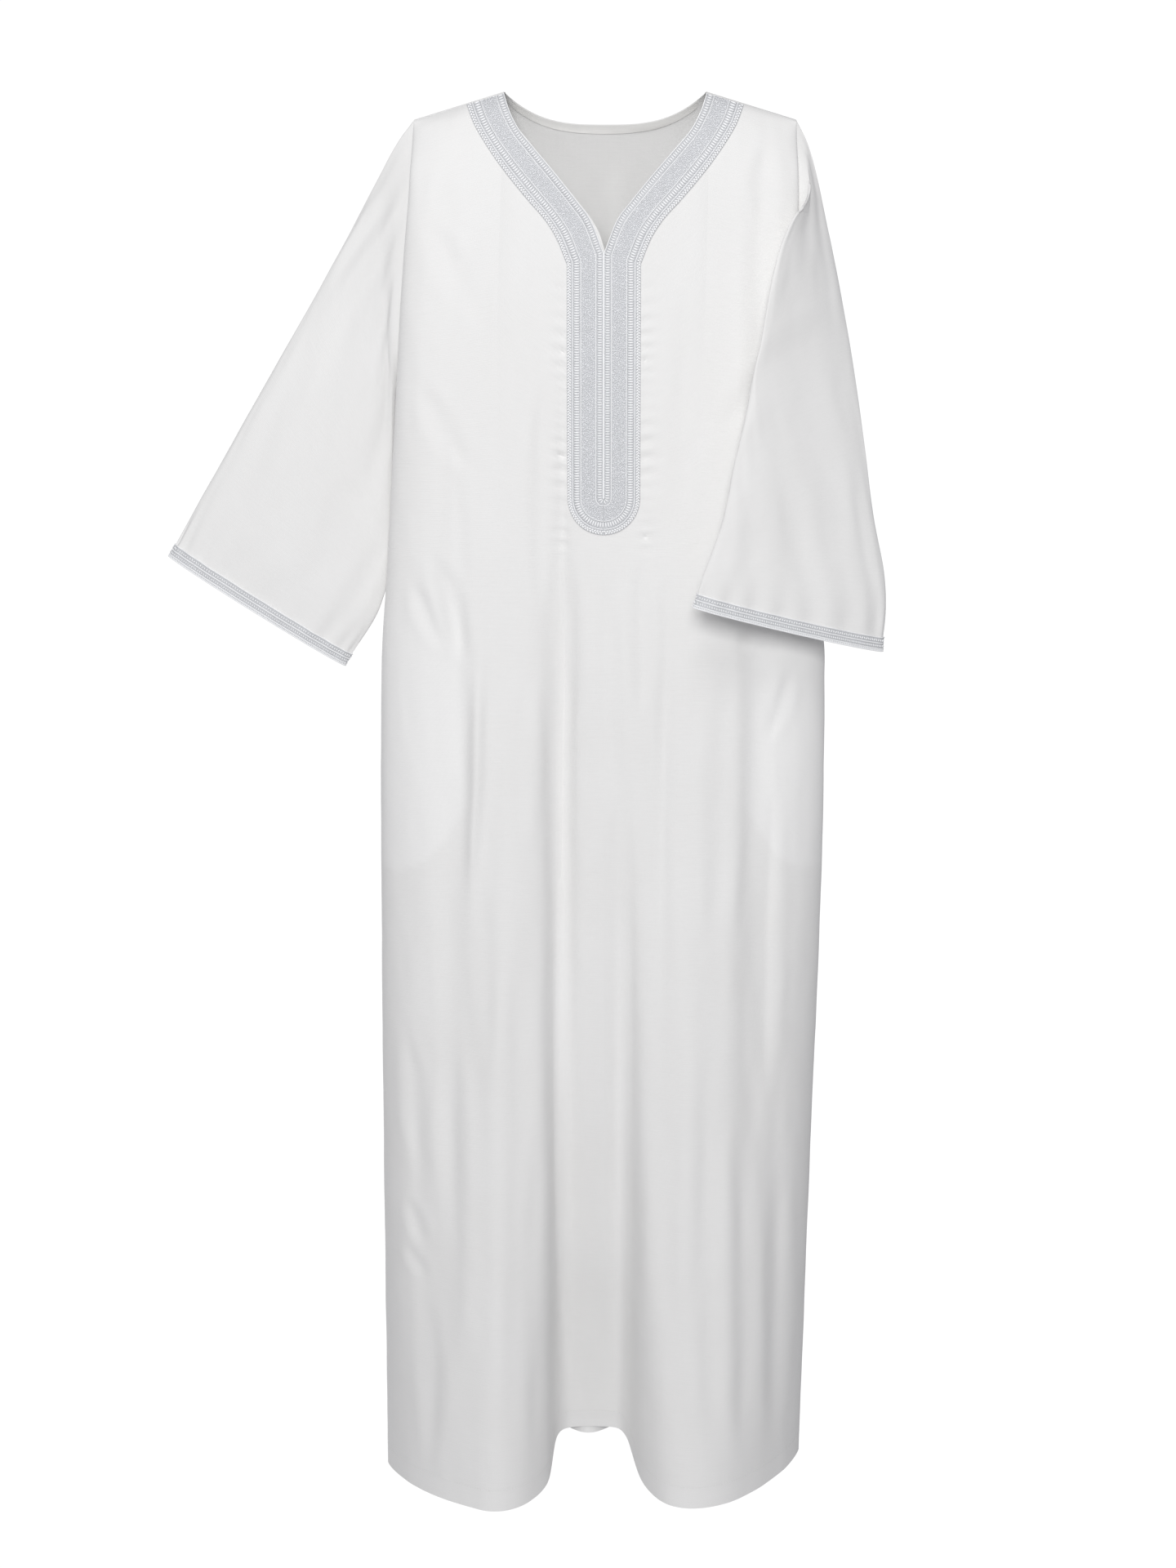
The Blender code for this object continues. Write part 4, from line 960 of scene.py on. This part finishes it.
def mesh_piece(name, points, faces, material):
    mesh = bpy.data.meshes.new(name)
    mesh.from_pydata(points.tolist(), [], faces)
    mesh.materials.append(material)
    mesh.shade_smooth()
    mesh.update()
    piece = bpy.data.objects.new(name, mesh)
    bpy.context.scene.collection.objects.link(piece)
    return piece


def shell(name, outer, normals, thickness, material, around=False, places=None):
    """Closed thin wall from its outer grid. places are each point's lengths across and down the cloth."""
    rows, columns = outer.shape[:2]
    inner = outer - normals * thickness
    points = np.concatenate([outer.reshape(-1, 3), inner.reshape(-1, 3)])
    start = rows * columns
    faces = np.concatenate([grid_faces(rows, columns, around),
                            grid_faces(rows, columns, around, start, True),
                            rim_faces(rows, columns, around, start)])
    piece = mesh_piece(name, points, faces.tolist(), material)
    piece.data.set_sharp_from_angle(angle=math.radians(SHARP_DEGREES))
    if places is not None:
        flat = places.reshape(-1, 2)
        set_places(piece, np.concatenate([flat, flat]))
    return piece


def set_places(piece, places):
    """Gives each corner its place on the flat cloth, in metres, for the weave."""
    layer = piece.data.uv_layers.new(name="cloth")
    corners = np.zeros(len(piece.data.loops), dtype=np.int32)
    piece.data.loops.foreach_get("vertex_index", corners)
    layer.data.foreach_set("uv", places[corners].astype(np.float32).ravel())


def set_shade(piece, values):
    """Value of each point where the cloth has another layer behind it, for the material."""
    shade = piece.data.attributes.new("layers", "FLOAT", "POINT")
    shade.data.foreach_set("value", np.concatenate([values.ravel(), values.ravel()]).astype(np.float32))


def lengths(grid, around=False):
    """Lengths across and down the cloth at each point of a grid."""
    across = np.zeros(grid.shape[:2])
    across[:, 1:] = np.cumsum(np.linalg.norm(np.diff(grid, axis=1), axis=-1), axis=1)
    middle = grid.shape[1] // 2
    if not around:
        across = across - across[:, middle:middle + 1]
    down = np.zeros(grid.shape[:2])
    down[1:] = np.cumsum(np.linalg.norm(np.diff(grid, axis=0), axis=-1), axis=0)
    return np.stack([across, down[:, middle:middle + 1] + 0 * down], axis=-1)


def trim_path(side, across):
    """Front-view points (x, down) of a row of the neck trim, from the shoulder to the placket's round end.

    across is 0 at the inner edge and the middle line, and 1 at the outer edge.
    """
    along = np.linspace(0, 1, BAND_STEPS)
    shift = PLACKET_CENTRE * smooth(along)
    inner_x = read(NECK_BAND, "inner_out", along)
    outer_x = read(NECK_BAND, "outer_out", along)
    inner_down = read(NECK_BAND, "inner_down", along)
    outer_down = read(NECK_BAND, "outer_down", along)
    band = np.stack([side * (inner_x + (outer_x - inner_x) * across) + shift,
                     inner_down + (outer_down - inner_down) * across], axis=-1)
    round_centre = PLACKET_END - PLACKET_HALF
    down = np.linspace(band[-1, 1], round_centre, PLACKET_STEPS)[1:]
    edge = side * PLACKET_HALF * across + PLACKET_CENTRE
    straight = np.stack([np.full(len(down), edge), down], axis=-1)
    turn = np.linspace(0, math.pi / 2, ROUND_STEPS)[1:]
    reach = PLACKET_HALF * across
    end = np.stack([side * reach * np.cos(turn) + PLACKET_CENTRE,
                    round_centre + reach * np.sin(turn)], axis=-1)
    return np.concatenate([band, straight, end]) if across > 0 else np.concatenate([band, straight])


def along_path(path, places):
    """Points at lengths along a front-view path, and its direction there."""
    run = run_along(path)
    ahead = at_lengths(places + PROBE, run, path)
    behind = at_lengths(places - PROBE, run, path)
    return at_lengths(places, run, path), unit(ahead - behind)


def path_length(path):
    return float(np.linalg.norm(np.diff(path, axis=0), axis=1).sum())


def on_front(places):
    """Points of the front's surface, creases included, at front-view places, and its normals there."""
    x = places[..., 0]
    down = places[..., 1]
    s = front_across(x, down)
    points = section(-1, s, down)
    side = unit(section(-1, front_across(x + PROBE, down), down) -
                section(-1, front_across(x - PROBE, down), down))
    fall = unit(section(-1, front_across(x, down + PROBE), down + PROBE) -
                section(-1, front_across(x, down - PROBE), down - PROBE))
    normals = unit(np.cross(fall, side))
    return points - normals * relief(-1, s, points)[..., None], normals, side, fall


def frames_on_front(places, headings):
    """Points, and the directions along a row, across it and off the cloth."""
    points, normals, side, fall = on_front(places)
    along = unit(side * headings[:, :1] + fall * headings[:, 1:])
    return points, frames_from(along, normals)


def bead_shape(length, width, height, sides):
    """Low smooth bead that lies on the cloth. Its length is along the row."""
    turns = np.arange(sides) * 2 * math.pi / sides
    ring = np.stack([np.cos(turns) * length / 2, np.sin(turns) * width / 2, np.zeros(sides)], axis=-1)
    upper = ring * [BEAD_SHOULDER, BEAD_SHOULDER, 1] + [0, 0, height * BEAD_SHOULDER]
    points = np.concatenate([ring, upper, [[0, 0, height]]])
    faces = []
    for k in range(sides):
        after = (k + 1) % sides
        faces.append((k, after, sides + after))
        faces.append((k, sides + after, sides + k))
        faces.append((sides + k, sides + after, 2 * sides))
    base = [(0, k + 1, k) for k in range(1, sides - 1)]
    return points, np.array(faces + base)


def scatter(name, shape, groups, material):
    """One mesh of many copies. Each group is points, frames, turns about the normal, sizes and a lift."""
    base, base_faces = shape
    all_points = []
    for points, frames, turns, sizes, lift in groups:
        cos = np.cos(turns)
        sin = np.sin(turns)
        spin = np.zeros((len(points), 3, 3))
        spin[:, 0, 0] = cos
        spin[:, 0, 1] = -sin
        spin[:, 1, 0] = sin
        spin[:, 1, 1] = cos
        spin[:, 2, 2] = 1
        local = np.einsum("nij,kj->nki", spin, base) * sizes[:, None, None]
        placed = np.einsum("nij,nkj->nki", frames, local)
        all_points.append((placed + (points + frames[:, :, 2] * lift)[:, None]).reshape(-1, 3))
    points = np.concatenate(all_points)
    copies = len(points) // len(base)
    faces = base_faces[None] + np.arange(copies)[:, None, None] * len(base)
    return mesh_piece(name, points, faces.reshape(-1, base_faces.shape[1]).tolist(), material)


def cords(name, lines, radius, material):
    """Round cords in one mesh. Each line is its points, the cloth's normals there, and if it is closed."""
    points = []
    faces = []
    start = 0
    turns = np.arange(CORD_SIDES) * 2 * math.pi / CORD_SIDES
    for line, normals, closed in lines:
        around = np.roll(line, -1, axis=0) - np.roll(line, 1, axis=0)
        along = unit(around if closed else np.gradient(line, axis=0))
        across = unit(np.cross(normals, along))
        off = np.cross(along, across)
        ring = across[:, None] * np.cos(turns)[:, None] + off[:, None] * np.sin(turns)[:, None]
        points.append((line[:, None] + ring * radius).reshape(-1, 3))
        last = start + (len(line) - 1) * CORD_SIDES
        faces.extend(grid_faces(len(line), CORD_SIDES, True, start, True).tolist())
        if closed:
            faces.extend([[last + k, last + (k + 1) % CORD_SIDES, start + (k + 1) % CORD_SIDES, start + k]
                          for k in range(CORD_SIDES)])
        else:
            faces.append([start + k for k in range(CORD_SIDES)])
            faces.append([last + k for k in range(CORD_SIDES)][::-1])
        start += len(line) * CORD_SIDES
    return mesh_piece(name, np.concatenate(points), faces, material)


def new_material(name, roughness, sheen):
    material = bpy.data.materials.new(name)
    material.use_nodes = True
    shader = material.node_tree.nodes["Principled BSDF"]
    shader.inputs["Roughness"].default_value = roughness
    shader.inputs["Specular IOR Level"].default_value = 0.25
    shader.inputs["Sheen Weight"].default_value = sheen
    shader.inputs["Sheen Roughness"].default_value = 0.5
    return material, material.node_tree, shader


def node(tree, kind, **values):
    made = tree.nodes.new(kind)
    for key, value in values.items():
        if hasattr(made, key):
            setattr(made, key, value)
        else:
            made.inputs[key.replace("_", " ")].default_value = value
    return made


def link(tree, source, output, target, socket):
    tree.links.new(source.outputs[output], target.inputs[socket])


def ramp(tree, dark_at, dark, light_at, light):
    made = node(tree, "ShaderNodeValToRGB")
    first, last = made.color_ramp.elements
    first.position = dark_at
    first.color = (*dark, 1)
    last.position = light_at
    last.color = (*light, 1)
    return made


def woven(name, colour, sheen, slub_share):
    """Plain weave with thicker threads here and there across it, from the cloth's own lengths."""
    material, tree, shader = new_material(name, CLOTH_ROUGHNESS, sheen)
    place = node(tree, "ShaderNodeUVMap", uv_map="cloth")
    slub_map = node(tree, "ShaderNodeMapping")
    slub_map.inputs["Scale"].default_value = SLUB_SCALE
    slubs = node(tree, "ShaderNodeTexNoise", Scale=1.0, Detail=3.0, Roughness=0.6)
    link(tree, place, "UV", slub_map, "Vector")
    link(tree, slub_map, "Vector", slubs, "Vector")
    threads = node(tree, "ShaderNodeMath", operation="MULTIPLY")
    for socket, way in enumerate(("X", "Y")):
        yarn = node(tree, "ShaderNodeTexWave", wave_type="BANDS", bands_direction=way, Scale=THREADS,
                    Distortion=1.5, Detail=1.0)
        link(tree, place, "UV", yarn, "Vector")
        link(tree, yarn, "Fac", threads, socket)
    height = node(tree, "ShaderNodeMath", operation="MULTIPLY_ADD")
    height.inputs[1].default_value = SLUB_HEIGHT
    link(tree, slubs, "Fac", height, 0)
    link(tree, threads, "Value", height, 2)
    bump = node(tree, "ShaderNodeBump", Strength=0.55, Distance=WEAVE_DEPTH)
    link(tree, height, "Value", bump, "Height")
    link(tree, bump, "Normal", shader, "Normal")
    tone = ramp(tree, 0.30, [c * (1 - slub_share) for c in colour], 0.62, colour)
    link(tree, slubs, "Fac", tone, "Fac")
    cloud = node(tree, "ShaderNodeTexNoise", Scale=9.0, Detail=4.0, Roughness=0.55)
    link(tree, place, "UV", cloud, "Vector")
    soft = ramp(tree, 0.25, MOTTLE_DARK, 0.75, (1, 1, 1))
    link(tree, cloud, "Fac", soft, "Fac")
    mottle = node(tree, "ShaderNodeMixRGB", blend_type="MULTIPLY", Fac=1.0)
    link(tree, tone, "Color", mottle, 1)
    link(tree, soft, "Color", mottle, 2)
    layers = node(tree, "ShaderNodeAttribute", attribute_name="layers")
    doubled = node(tree, "ShaderNodeMixRGB", blend_type="MIX")
    doubled.inputs[2].default_value = (*[min(c * DOUBLED, 1) for c in colour], 1)
    link(tree, layers, "Fac", doubled, "Fac")
    link(tree, mottle, "Color", doubled, 1)
    link(tree, doubled, "Color", shader, "Base Color")
    return material


def threaded(name, colour, dark, roughness, scale):
    """Twisted embroidery thread: fine strands and small changes of tone."""
    material, tree, shader = new_material(name, roughness, 0.3)
    shader.inputs["Specular IOR Level"].default_value = 0.5
    place = node(tree, "ShaderNodeTexCoord")
    strands = node(tree, "ShaderNodeTexNoise", Scale=scale, Detail=2.0, Roughness=0.5)
    tone = ramp(tree, 0.3, dark, 0.65, colour)
    bump = node(tree, "ShaderNodeBump", Strength=0.5, Distance=0.0002)
    link(tree, place, "Object", strands, "Vector")
    link(tree, strands, "Fac", tone, "Fac")
    link(tree, tone, "Color", shader, "Base Color")
    link(tree, strands, "Fac", bump, "Height")
    link(tree, bump, "Normal", shader, "Normal")
    return material


def pocket_share(side_x, down):
    """1 where a pocket bag lies behind the front."""
    inner = read(POCKET, "inner", down)
    start = POCKET["rows"][0][0]
    end = POCKET["rows"][-1][0]
    return (wall_step((side_x - inner) / PATCH_EDGE) * smooth((down - start) / PATCH_FADE) *
            wall_step((end - down) / PATCH_EDGE))


def build_panels(materials):
    front, front_s = front_cloth_grid()
    back, back_s = back_cloth_grid()
    plain_front = front.copy()
    normals = grid_normals(front)
    front = front - normals * relief(-1, front_s, front)[..., None]
    normals = grid_normals(front)
    back_normals = grid_normals(back)
    back_relief = relief(1, back_s, back)
    back_relief[:RIDGE_ROWS] = 0
    back = back - back_normals * back_relief[..., None]
    back_normals = grid_normals(back)
    first = RIDGE_ROWS + ARMHOLE_ROWS
    for a, b in ((0, -1), (-1, 0)):
        mean = unit(normals[ARMHOLE_ROWS:, a] + back_normals[first:, b])
        normals[ARMHOLE_ROWS:, a] = mean
        back_normals[first:, b] = mean
    down = -plain_front[..., 2]
    hem = HEM_SHARE * wall_step((down - (HEM_DOWN - HEM_FOLD)) / PATCH_EDGE)
    shade = np.maximum(pocket_share(np.abs(plain_front[..., 0]), down), hem)
    cloth = materials["cloth"]
    front_piece = shell("front_cloth", front, normals, CLOTH_WALL, cloth, places=lengths(front))
    set_shade(front_piece, shade)
    back_piece = shell("back_cloth", back, back_normals, CLOTH_WALL, cloth, places=lengths(back))
    set_shade(back_piece, HEM_SHARE * wall_step((-back[..., 2] - (HEM_DOWN - HEM_FOLD)) / PATCH_EDGE))
    return front, back, front_piece, back_piece, normals, back_normals


def build_sleeve(name, table, creases, waves, side, front, back, materials):
    loop, turns = armhole_edge(front, back, side)
    alongs = np.linspace(0, 1, SLEEVE_STEPS + 1) ** SLEEVE_CROWD
    grid = sleeve_surface(table, side, loop, turns, alongs)
    normals = grid_normals(grid, around=True)
    grid = grid - normals * sleeve_relief(creases, waves, side, alongs, turns)[..., None]
    grid[0] = loop
    normals = grid_normals(grid, around=True)
    piece = shell(name, grid, normals, CLOTH_WALL, materials["cloth"], around=True,
                  places=lengths(grid, True))
    set_shade(piece, np.zeros(grid.shape[:2]))
    return piece, grid, normals


def cuff_line(grid, normals, height):
    """Points round a sleeve's end at a height above its edge, and outward normals."""
    lines = grid[::-1]
    step = unit(lines[1] - lines[0])
    run = np.cumsum(np.linalg.norm(np.diff(lines, axis=0), axis=-1), axis=0)
    run = np.concatenate([np.zeros((1, run.shape[1])), run])
    points = np.array([at_lengths(height, run[:, column], lines[:, column])
                       for column in range(grid.shape[1])])
    around = unit(np.roll(points, -1, axis=0) - np.roll(points, 1, axis=0))
    off = unit(np.cross(step, around))
    return points, -off if (off * normals[-1]).sum() < 0 else off


def closed_places(points, normals, pitch):
    """Even places round a closed line, and their directions."""
    ring = np.concatenate([points, points[:1]])
    run = run_along(ring)
    count = int(run[-1] / pitch)
    at = np.arange(count) * run[-1] / count
    placed = at_lengths(at, run, ring)
    off = unit(at_lengths(at, run, np.concatenate([normals, normals[:1]])))
    ahead = unit(np.roll(placed, -1, axis=0) - np.roll(placed, 1, axis=0))
    return placed, frames_from(ahead, off)


def build_cuff(side_name, grid, normals, materials):
    """Braid round the sleeve's end: a band, rows of beads, and cords."""
    rows = []
    offs = []
    for height in np.linspace(0, CUFF_BAND, CUFF_STEPS + 1)[::-1]:
        points, off = cuff_line(grid, normals, height)
        rows.append(points + off * CUFF_LIFT)
        offs.append(off)
    rows = np.array(rows)
    band = shell("cuff_band_" + side_name, rows, np.array(offs), BAND_WALL, materials["braid"], around=True,
                 places=lengths(rows, True))
    groups = []
    for height, pitch, size in CUFF_BEADS:
        points, off = cuff_line(grid, normals, height)
        placed, frames = closed_places(points, off, pitch)
        slant = np.full(len(placed), CUFF_SLANT)
        if height > CUFF_BAND / 2:
            slant[1::2] = -CUFF_SLANT
        groups.append((placed, frames, slant + math.pi / 2, np.full(len(placed), size), CUFF_LIFT))
    beads = scatter("cuff_beads_" + side_name, bead_shape(*CUFF_BEAD), groups, materials["thread"])
    lines = []
    for height in CUFF_CORDS:
        points, off = cuff_line(grid, normals, height)
        lines.append((points + off * CUFF_LIFT, off, True))
    cord = cords("cuff_cords_" + side_name, lines, CUFF_CORD_RADIUS, materials["thread"])
    return band, beads, cord


def resample(path, count):
    places, _ = along_path(path, np.linspace(0, path_length(path), count))
    return places


def trim_rows(distance):
    """The right and left rows of the neck trim at a distance from its outer edge."""
    return [trim_path(side, 1 - distance / PLACKET_HALF) for side in (-1.0, 1.0)]


def build_neck_bands(material):
    """Band cloth of the neck and placket, in a right and a left half."""
    across = np.concatenate([[0.0], np.linspace(TRIM_FIRST, 1, TRIM_ACROSS)])
    bands = []
    for name, side in (("neck_band_right", -1.0), ("neck_band_left", 1.0)):
        paths = [resample(trim_path(side, max(share, BAND_INNER)), TRIM_ROWS) for share in across]
        grid = np.array(paths).transpose(1, 0, 2)
        if side < 0:
            grid = grid[:, ::-1]
        points, normals, _, _ = on_front(grid)
        lifted = points + normals * (BAND_LIFT - BAND_SINK)
        bands.append(shell(name, lifted, normals, BAND_WALL, material, places=lengths(lifted)))
    return bands


def build_neck_cords(material):
    """Cords between the rows, and two along the middle line."""
    paths = [path for distance in CORDS_AT for path in trim_rows(distance)]
    paths += [trim_path(side, MIDDLE_CORD) for side in (-1.0, 1.0)]
    lines = []
    for path in paths:
        points, normals, _, _ = on_front(resample(path, CORD_POINTS))
        lines.append((points + normals * (BAND_LIFT + CORD_RISE), normals, False))
    return cords("neck_cords", lines, CORD_RADIUS, material)


def build_neck_chain(material):
    """Two lines of beads that slant against each other, like a plait."""
    groups = []
    for path in trim_rows(CHAIN_AT):
        steps = path_length(path) / CHAIN_PITCH
        for shift, way in ((0.0, 1), (0.5, -1)):
            places, headings = along_path(path, np.arange(0.5 + shift, steps) * CHAIN_PITCH)
            points, frames = frames_on_front(places, headings)
            points = points + frames[:, :, 1] * way * CHAIN_APART
            slant = np.full(len(points), way * CHAIN_SLANT)
            groups.append((points, frames, slant, np.ones(len(points)), BAND_LIFT))
    return scatter("neck_chain", bead_shape(*CHAIN_BEAD), groups, material)


def build_neck_bars(material):
    """Ladders: bars that lie across their rows."""
    groups = []
    for distance, width in zip(LADDERS_AT, LADDER_WIDTHS):
        for path in trim_rows(distance):
            steps = path_length(path) / BAR_PITCH
            places, headings = along_path(path, np.arange(0.5, steps) * BAR_PITCH)
            points, frames = frames_on_front(places, headings)
            size = np.full(len(points), width / LADDER_WIDTHS[0])
            groups.append((points, frames, np.full(len(points), math.pi / 2), size, BAND_LIFT))
    return scatter("neck_bars", bead_shape(*BAR_BEAD), groups, material)


def build_neck_seeds(material):
    """Small seeds, scattered by chance in their row."""
    draw = np.random.default_rng(SEED)
    groups = []
    for distance in np.arange(SEEDS_FROM, SEEDS_TO, SEED_PITCH):
        for path in trim_rows(distance):
            count = int(path_length(path) / SEED_PITCH)
            at = (np.arange(count) + 0.5 + draw.uniform(-SEED_STRAY, SEED_STRAY, count)) * SEED_PITCH
            places, headings = along_path(path, at)
            places = places + draw.uniform(-SEED_STRAY, SEED_STRAY, places.shape) * SEED_PITCH
            points, frames = frames_on_front(places, headings)
            turns = draw.uniform(0, math.pi, count)
            groups.append((points, frames, turns, draw.uniform(*SEED_SIZES, count), BAND_LIFT))
    return scatter("neck_seeds", bead_shape(*SEED_BEAD), groups, material)


def build_hem_stitches(front, back, normals, back_normals, materials):
    """Small stitches along the hem's fold."""
    groups = []
    for grid, offs in ((front, normals), (back, back_normals)):
        rise = np.cumsum(np.linalg.norm(np.diff(grid[::-1], axis=0), axis=-1).mean(axis=1))
        row = len(grid) - 2 - int(np.searchsorted(rise, HEM_FOLD))
        run = run_along(grid[row])
        at = np.arange(0.5, run[-1] / STITCH_PITCH - 0.5) * STITCH_PITCH
        placed = at_lengths(at, run, grid[row])
        off = unit(at_lengths(at, run, offs[row]))
        frames = frames_from(unit(np.gradient(placed, axis=0)), off)
        groups.append((placed, frames, np.zeros(len(placed)), np.ones(len(placed)), -STITCH_SINK))
    return scatter("hem_stitches", bead_shape(*STITCH_BEAD), groups, materials["stitch"])


def build_facing(back, back_normals, materials):
    """Narrow binding inside the back neck."""
    inside = np.abs(back[RIDGE_ROWS, :, 0]) < FACING_REACH
    columns = np.nonzero(inside)[0]
    rows = []
    offs = []
    for depth in FACING_HEIGHT * np.linspace(FACING_FROM, 1, FACING_STEPS):
        line = []
        off = []
        for column in columns:
            run = run_along(back[:, column])
            line.append(at_lengths(depth, run, back[:, column]))
            off.append(at_lengths(depth, run, back_normals[:, column]))
        rows.append(line)
        offs.append(off)
    offs = unit(np.array(offs))
    rows = np.array(rows) - offs * (CLOTH_WALL + FACING_GAP)
    inward = -offs[:, ::-1]
    rows = rows[:, ::-1]
    return shell("neck_binding", rows + inward * BAND_WALL, inward, BAND_WALL, materials["pocket"],
                 places=lengths(rows))


def build_pocket(name, side, materials):
    """Bag behind the front, from the side seam."""
    far = np.linspace(0, 1, DENSE)
    rows = []
    spread = []
    for down in np.linspace(POCKET["rows"][0][0], POCKET["rows"][-1][0], POCKET_STEPS + 1):
        across = np.abs(section(-1, side * far, np.full(DENSE, down))[:, 0])
        reach = np.argmax(across)
        inner = np.interp(float(read(POCKET, "inner", down)), across[:reach], far[:reach])
        s = np.linspace(inner, POCKET_SEAM_SIDE, POCKET_ACROSS + 1) * side
        s = s if side > 0 else s[::-1]
        rows.append(section(-1, s, down))
        spread.append(s)
    rows = np.array(rows)
    normals = grid_normals(rows)
    rows = rows - normals * (relief(-1, np.array(spread), rows) + CLOTH_WALL + POCKET_CLEAR)[..., None]
    return shell(name, rows, normals, POCKET_WALL, materials["pocket"], places=lengths(rows))


def add_light(name, place, target, side, power):
    data = bpy.data.lights.new(name, "AREA")
    data.shape = "RECTANGLE"
    data.size = side
    data.size_y = side
    data.energy = power
    data.color = LIGHT_COLOUR
    light = bpy.data.objects.new(name, data)
    light.location = place
    light.rotation_euler = (Vector(target) - Vector(place)).to_track_quat("-Z", "Y").to_euler()
    bpy.context.scene.collection.objects.link(light)


def build_stage():
    """Plain pale round floor under the robe."""
    turns = np.arange(FLOOR_SIDES) * 2 * math.pi / FLOOR_SIDES
    profile = ((FLOOR_HOLE, 0.0), (FLOOR_RADIUS - FLOOR_EDGE, 0.0), (FLOOR_RADIUS, -FLOOR_EDGE),
               (FLOOR_RADIUS, -2 * FLOOR_EDGE))
    points = np.array([[(r * math.cos(t), r * math.sin(t), FLOOR_Z + z) for t in turns]
                       for r, z in profile])
    faces = grid_faces(len(profile), FLOOR_SIDES, True).tolist()
    material = bpy.data.materials.new("pale_floor")
    material.use_nodes = True
    shader = material.node_tree.nodes["Principled BSDF"]
    shader.inputs["Base Color"].default_value = (*FLOOR_COLOUR, 1)
    shader.inputs["Roughness"].default_value = 0.9
    shader.inputs["Specular IOR Level"].default_value = 0.1
    mesh_piece("pale_floor", points.reshape(-1, 3), faces, material)


def build_world():
    world = bpy.data.worlds.new("soft_light")
    bpy.context.scene.world = world
    world.use_nodes = True
    tree = world.node_tree
    background = tree.nodes["Background"]
    seen = node(tree, "ShaderNodeLightPath")
    tint = node(tree, "ShaderNodeMixRGB", blend_type="MIX")
    tint.inputs[1].default_value = (*AMBIENT_COLOUR, 1)
    tint.inputs[2].default_value = (1, 1, 1, 1)
    link(tree, seen, "Is Camera Ray", tint, "Fac")
    link(tree, tint, "Color", background, "Color")
    strength = node(tree, "ShaderNodeMath", operation="MULTIPLY_ADD")
    strength.inputs[1].default_value = WORLD_SEEN - AMBIENT
    strength.inputs[2].default_value = AMBIENT
    link(tree, seen, "Is Camera Ray", strength, 0)
    link(tree, strength, "Value", background, "Strength")


def build_camera():
    data = bpy.data.cameras.new("camera")
    data.lens = SENSOR * FOCAL_PIXELS / PICTURE_HEIGHT
    data.sensor_width = SENSOR
    data.sensor_fit = "AUTO"
    camera = bpy.data.objects.new("camera", data)
    camera.location = CAMERA_PLACE
    camera.rotation_euler = CAMERA_TURN
    bpy.context.scene.collection.objects.link(camera)
    bpy.context.scene.camera = camera


FRONT_WAVES = make_waves(seed=3, **PANEL_WAVES)
BACK_WAVES = make_waves(seed=5, **PANEL_WAVES)
RIGHT_WAVES = make_waves(seed=7, **SLEEVE_WAVES)
LEFT_WAVES = make_waves(seed=9, **SLEEVE_WAVES)
FINE_WAVES = make_waves(seed=11, count=16, longest=0.040, shortest=0.012, stretch=1.8)

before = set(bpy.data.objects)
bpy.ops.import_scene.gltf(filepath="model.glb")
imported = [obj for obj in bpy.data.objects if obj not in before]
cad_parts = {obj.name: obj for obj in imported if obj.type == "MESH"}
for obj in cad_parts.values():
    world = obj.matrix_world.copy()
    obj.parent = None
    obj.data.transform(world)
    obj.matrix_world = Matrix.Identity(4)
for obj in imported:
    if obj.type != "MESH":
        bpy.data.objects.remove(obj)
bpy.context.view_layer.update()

bpy.context.scene.view_settings.view_transform = "Standard"
build_camera()
build_world()
build_stage()
for light in LIGHTS:
    add_light(*light)

materials = {
    "cloth": woven("robe_cloth", CLOTH_COLOUR, sheen=0.25, slub_share=0.018),
    "pocket": woven("pocket_cloth", POCKET_COLOUR, sheen=0.15, slub_share=0.012),
    "braid": threaded("braid_ground", BRAID_COLOUR, BRAID_DARK, roughness=0.6, scale=900),
    "thread": threaded("silver_thread", THREAD_COLOUR, THREAD_DARK, roughness=0.42, scale=1400),
    "seed": threaded("seed_thread", SEED_COLOUR, SEED_DARK, roughness=0.5, scale=1400),
    "stitch": threaded("sewing_thread", STITCH_COLOUR, STITCH_COLOUR, roughness=0.6, scale=1400),
}

front, back, front_piece, back_piece, front_normals, back_normals = build_panels(materials)
right_piece, right_grid, right_normals = build_sleeve(
    "sleeve_cloth_right", RIGHT_SLEEVE, RIGHT_SLEEVE_CREASES, RIGHT_WAVES, -1, front, back, materials)
left_piece, left_grid, left_normals = build_sleeve(
    "sleeve_cloth_left", LEFT_SLEEVE, LEFT_SLEEVE_CREASES, LEFT_WAVES, 1, front, back, materials)
bands = build_neck_bands(materials["braid"])
stitching = [build_neck_cords(materials["thread"]), build_neck_chain(materials["thread"]),
             build_neck_bars(materials["thread"]), build_neck_seeds(materials["seed"])]
right_cuff = build_cuff("right", right_grid, right_normals, materials)
left_cuff = build_cuff("left", left_grid, left_normals, materials)
hem = build_hem_stitches(front, back, front_normals, back_normals, materials)
binding = build_facing(back, back_normals, materials)
pockets = [build_pocket("pocket_cloth_right", -1, materials),
           build_pocket("pocket_cloth_left", 1, materials)]

shown = {
    "cloth": [front_piece, back_piece, right_piece, left_piece, hem],
    "trim": [*bands, *stitching, *right_cuff, *left_cuff],
    "pocket": [binding, *pockets],
}
for slot, members in shown.items():
    for member in members:
        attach(member, "root")
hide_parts("front_panel")
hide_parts("back_panel")
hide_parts("sleeve_right")
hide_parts("sleeve_left")
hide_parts("neck_trim")
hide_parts("cuff_trim_right")
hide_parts("cuff_trim_left")
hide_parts("back_neck_facing")
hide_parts("pocket_bag_right")
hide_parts("pocket_bag_left")
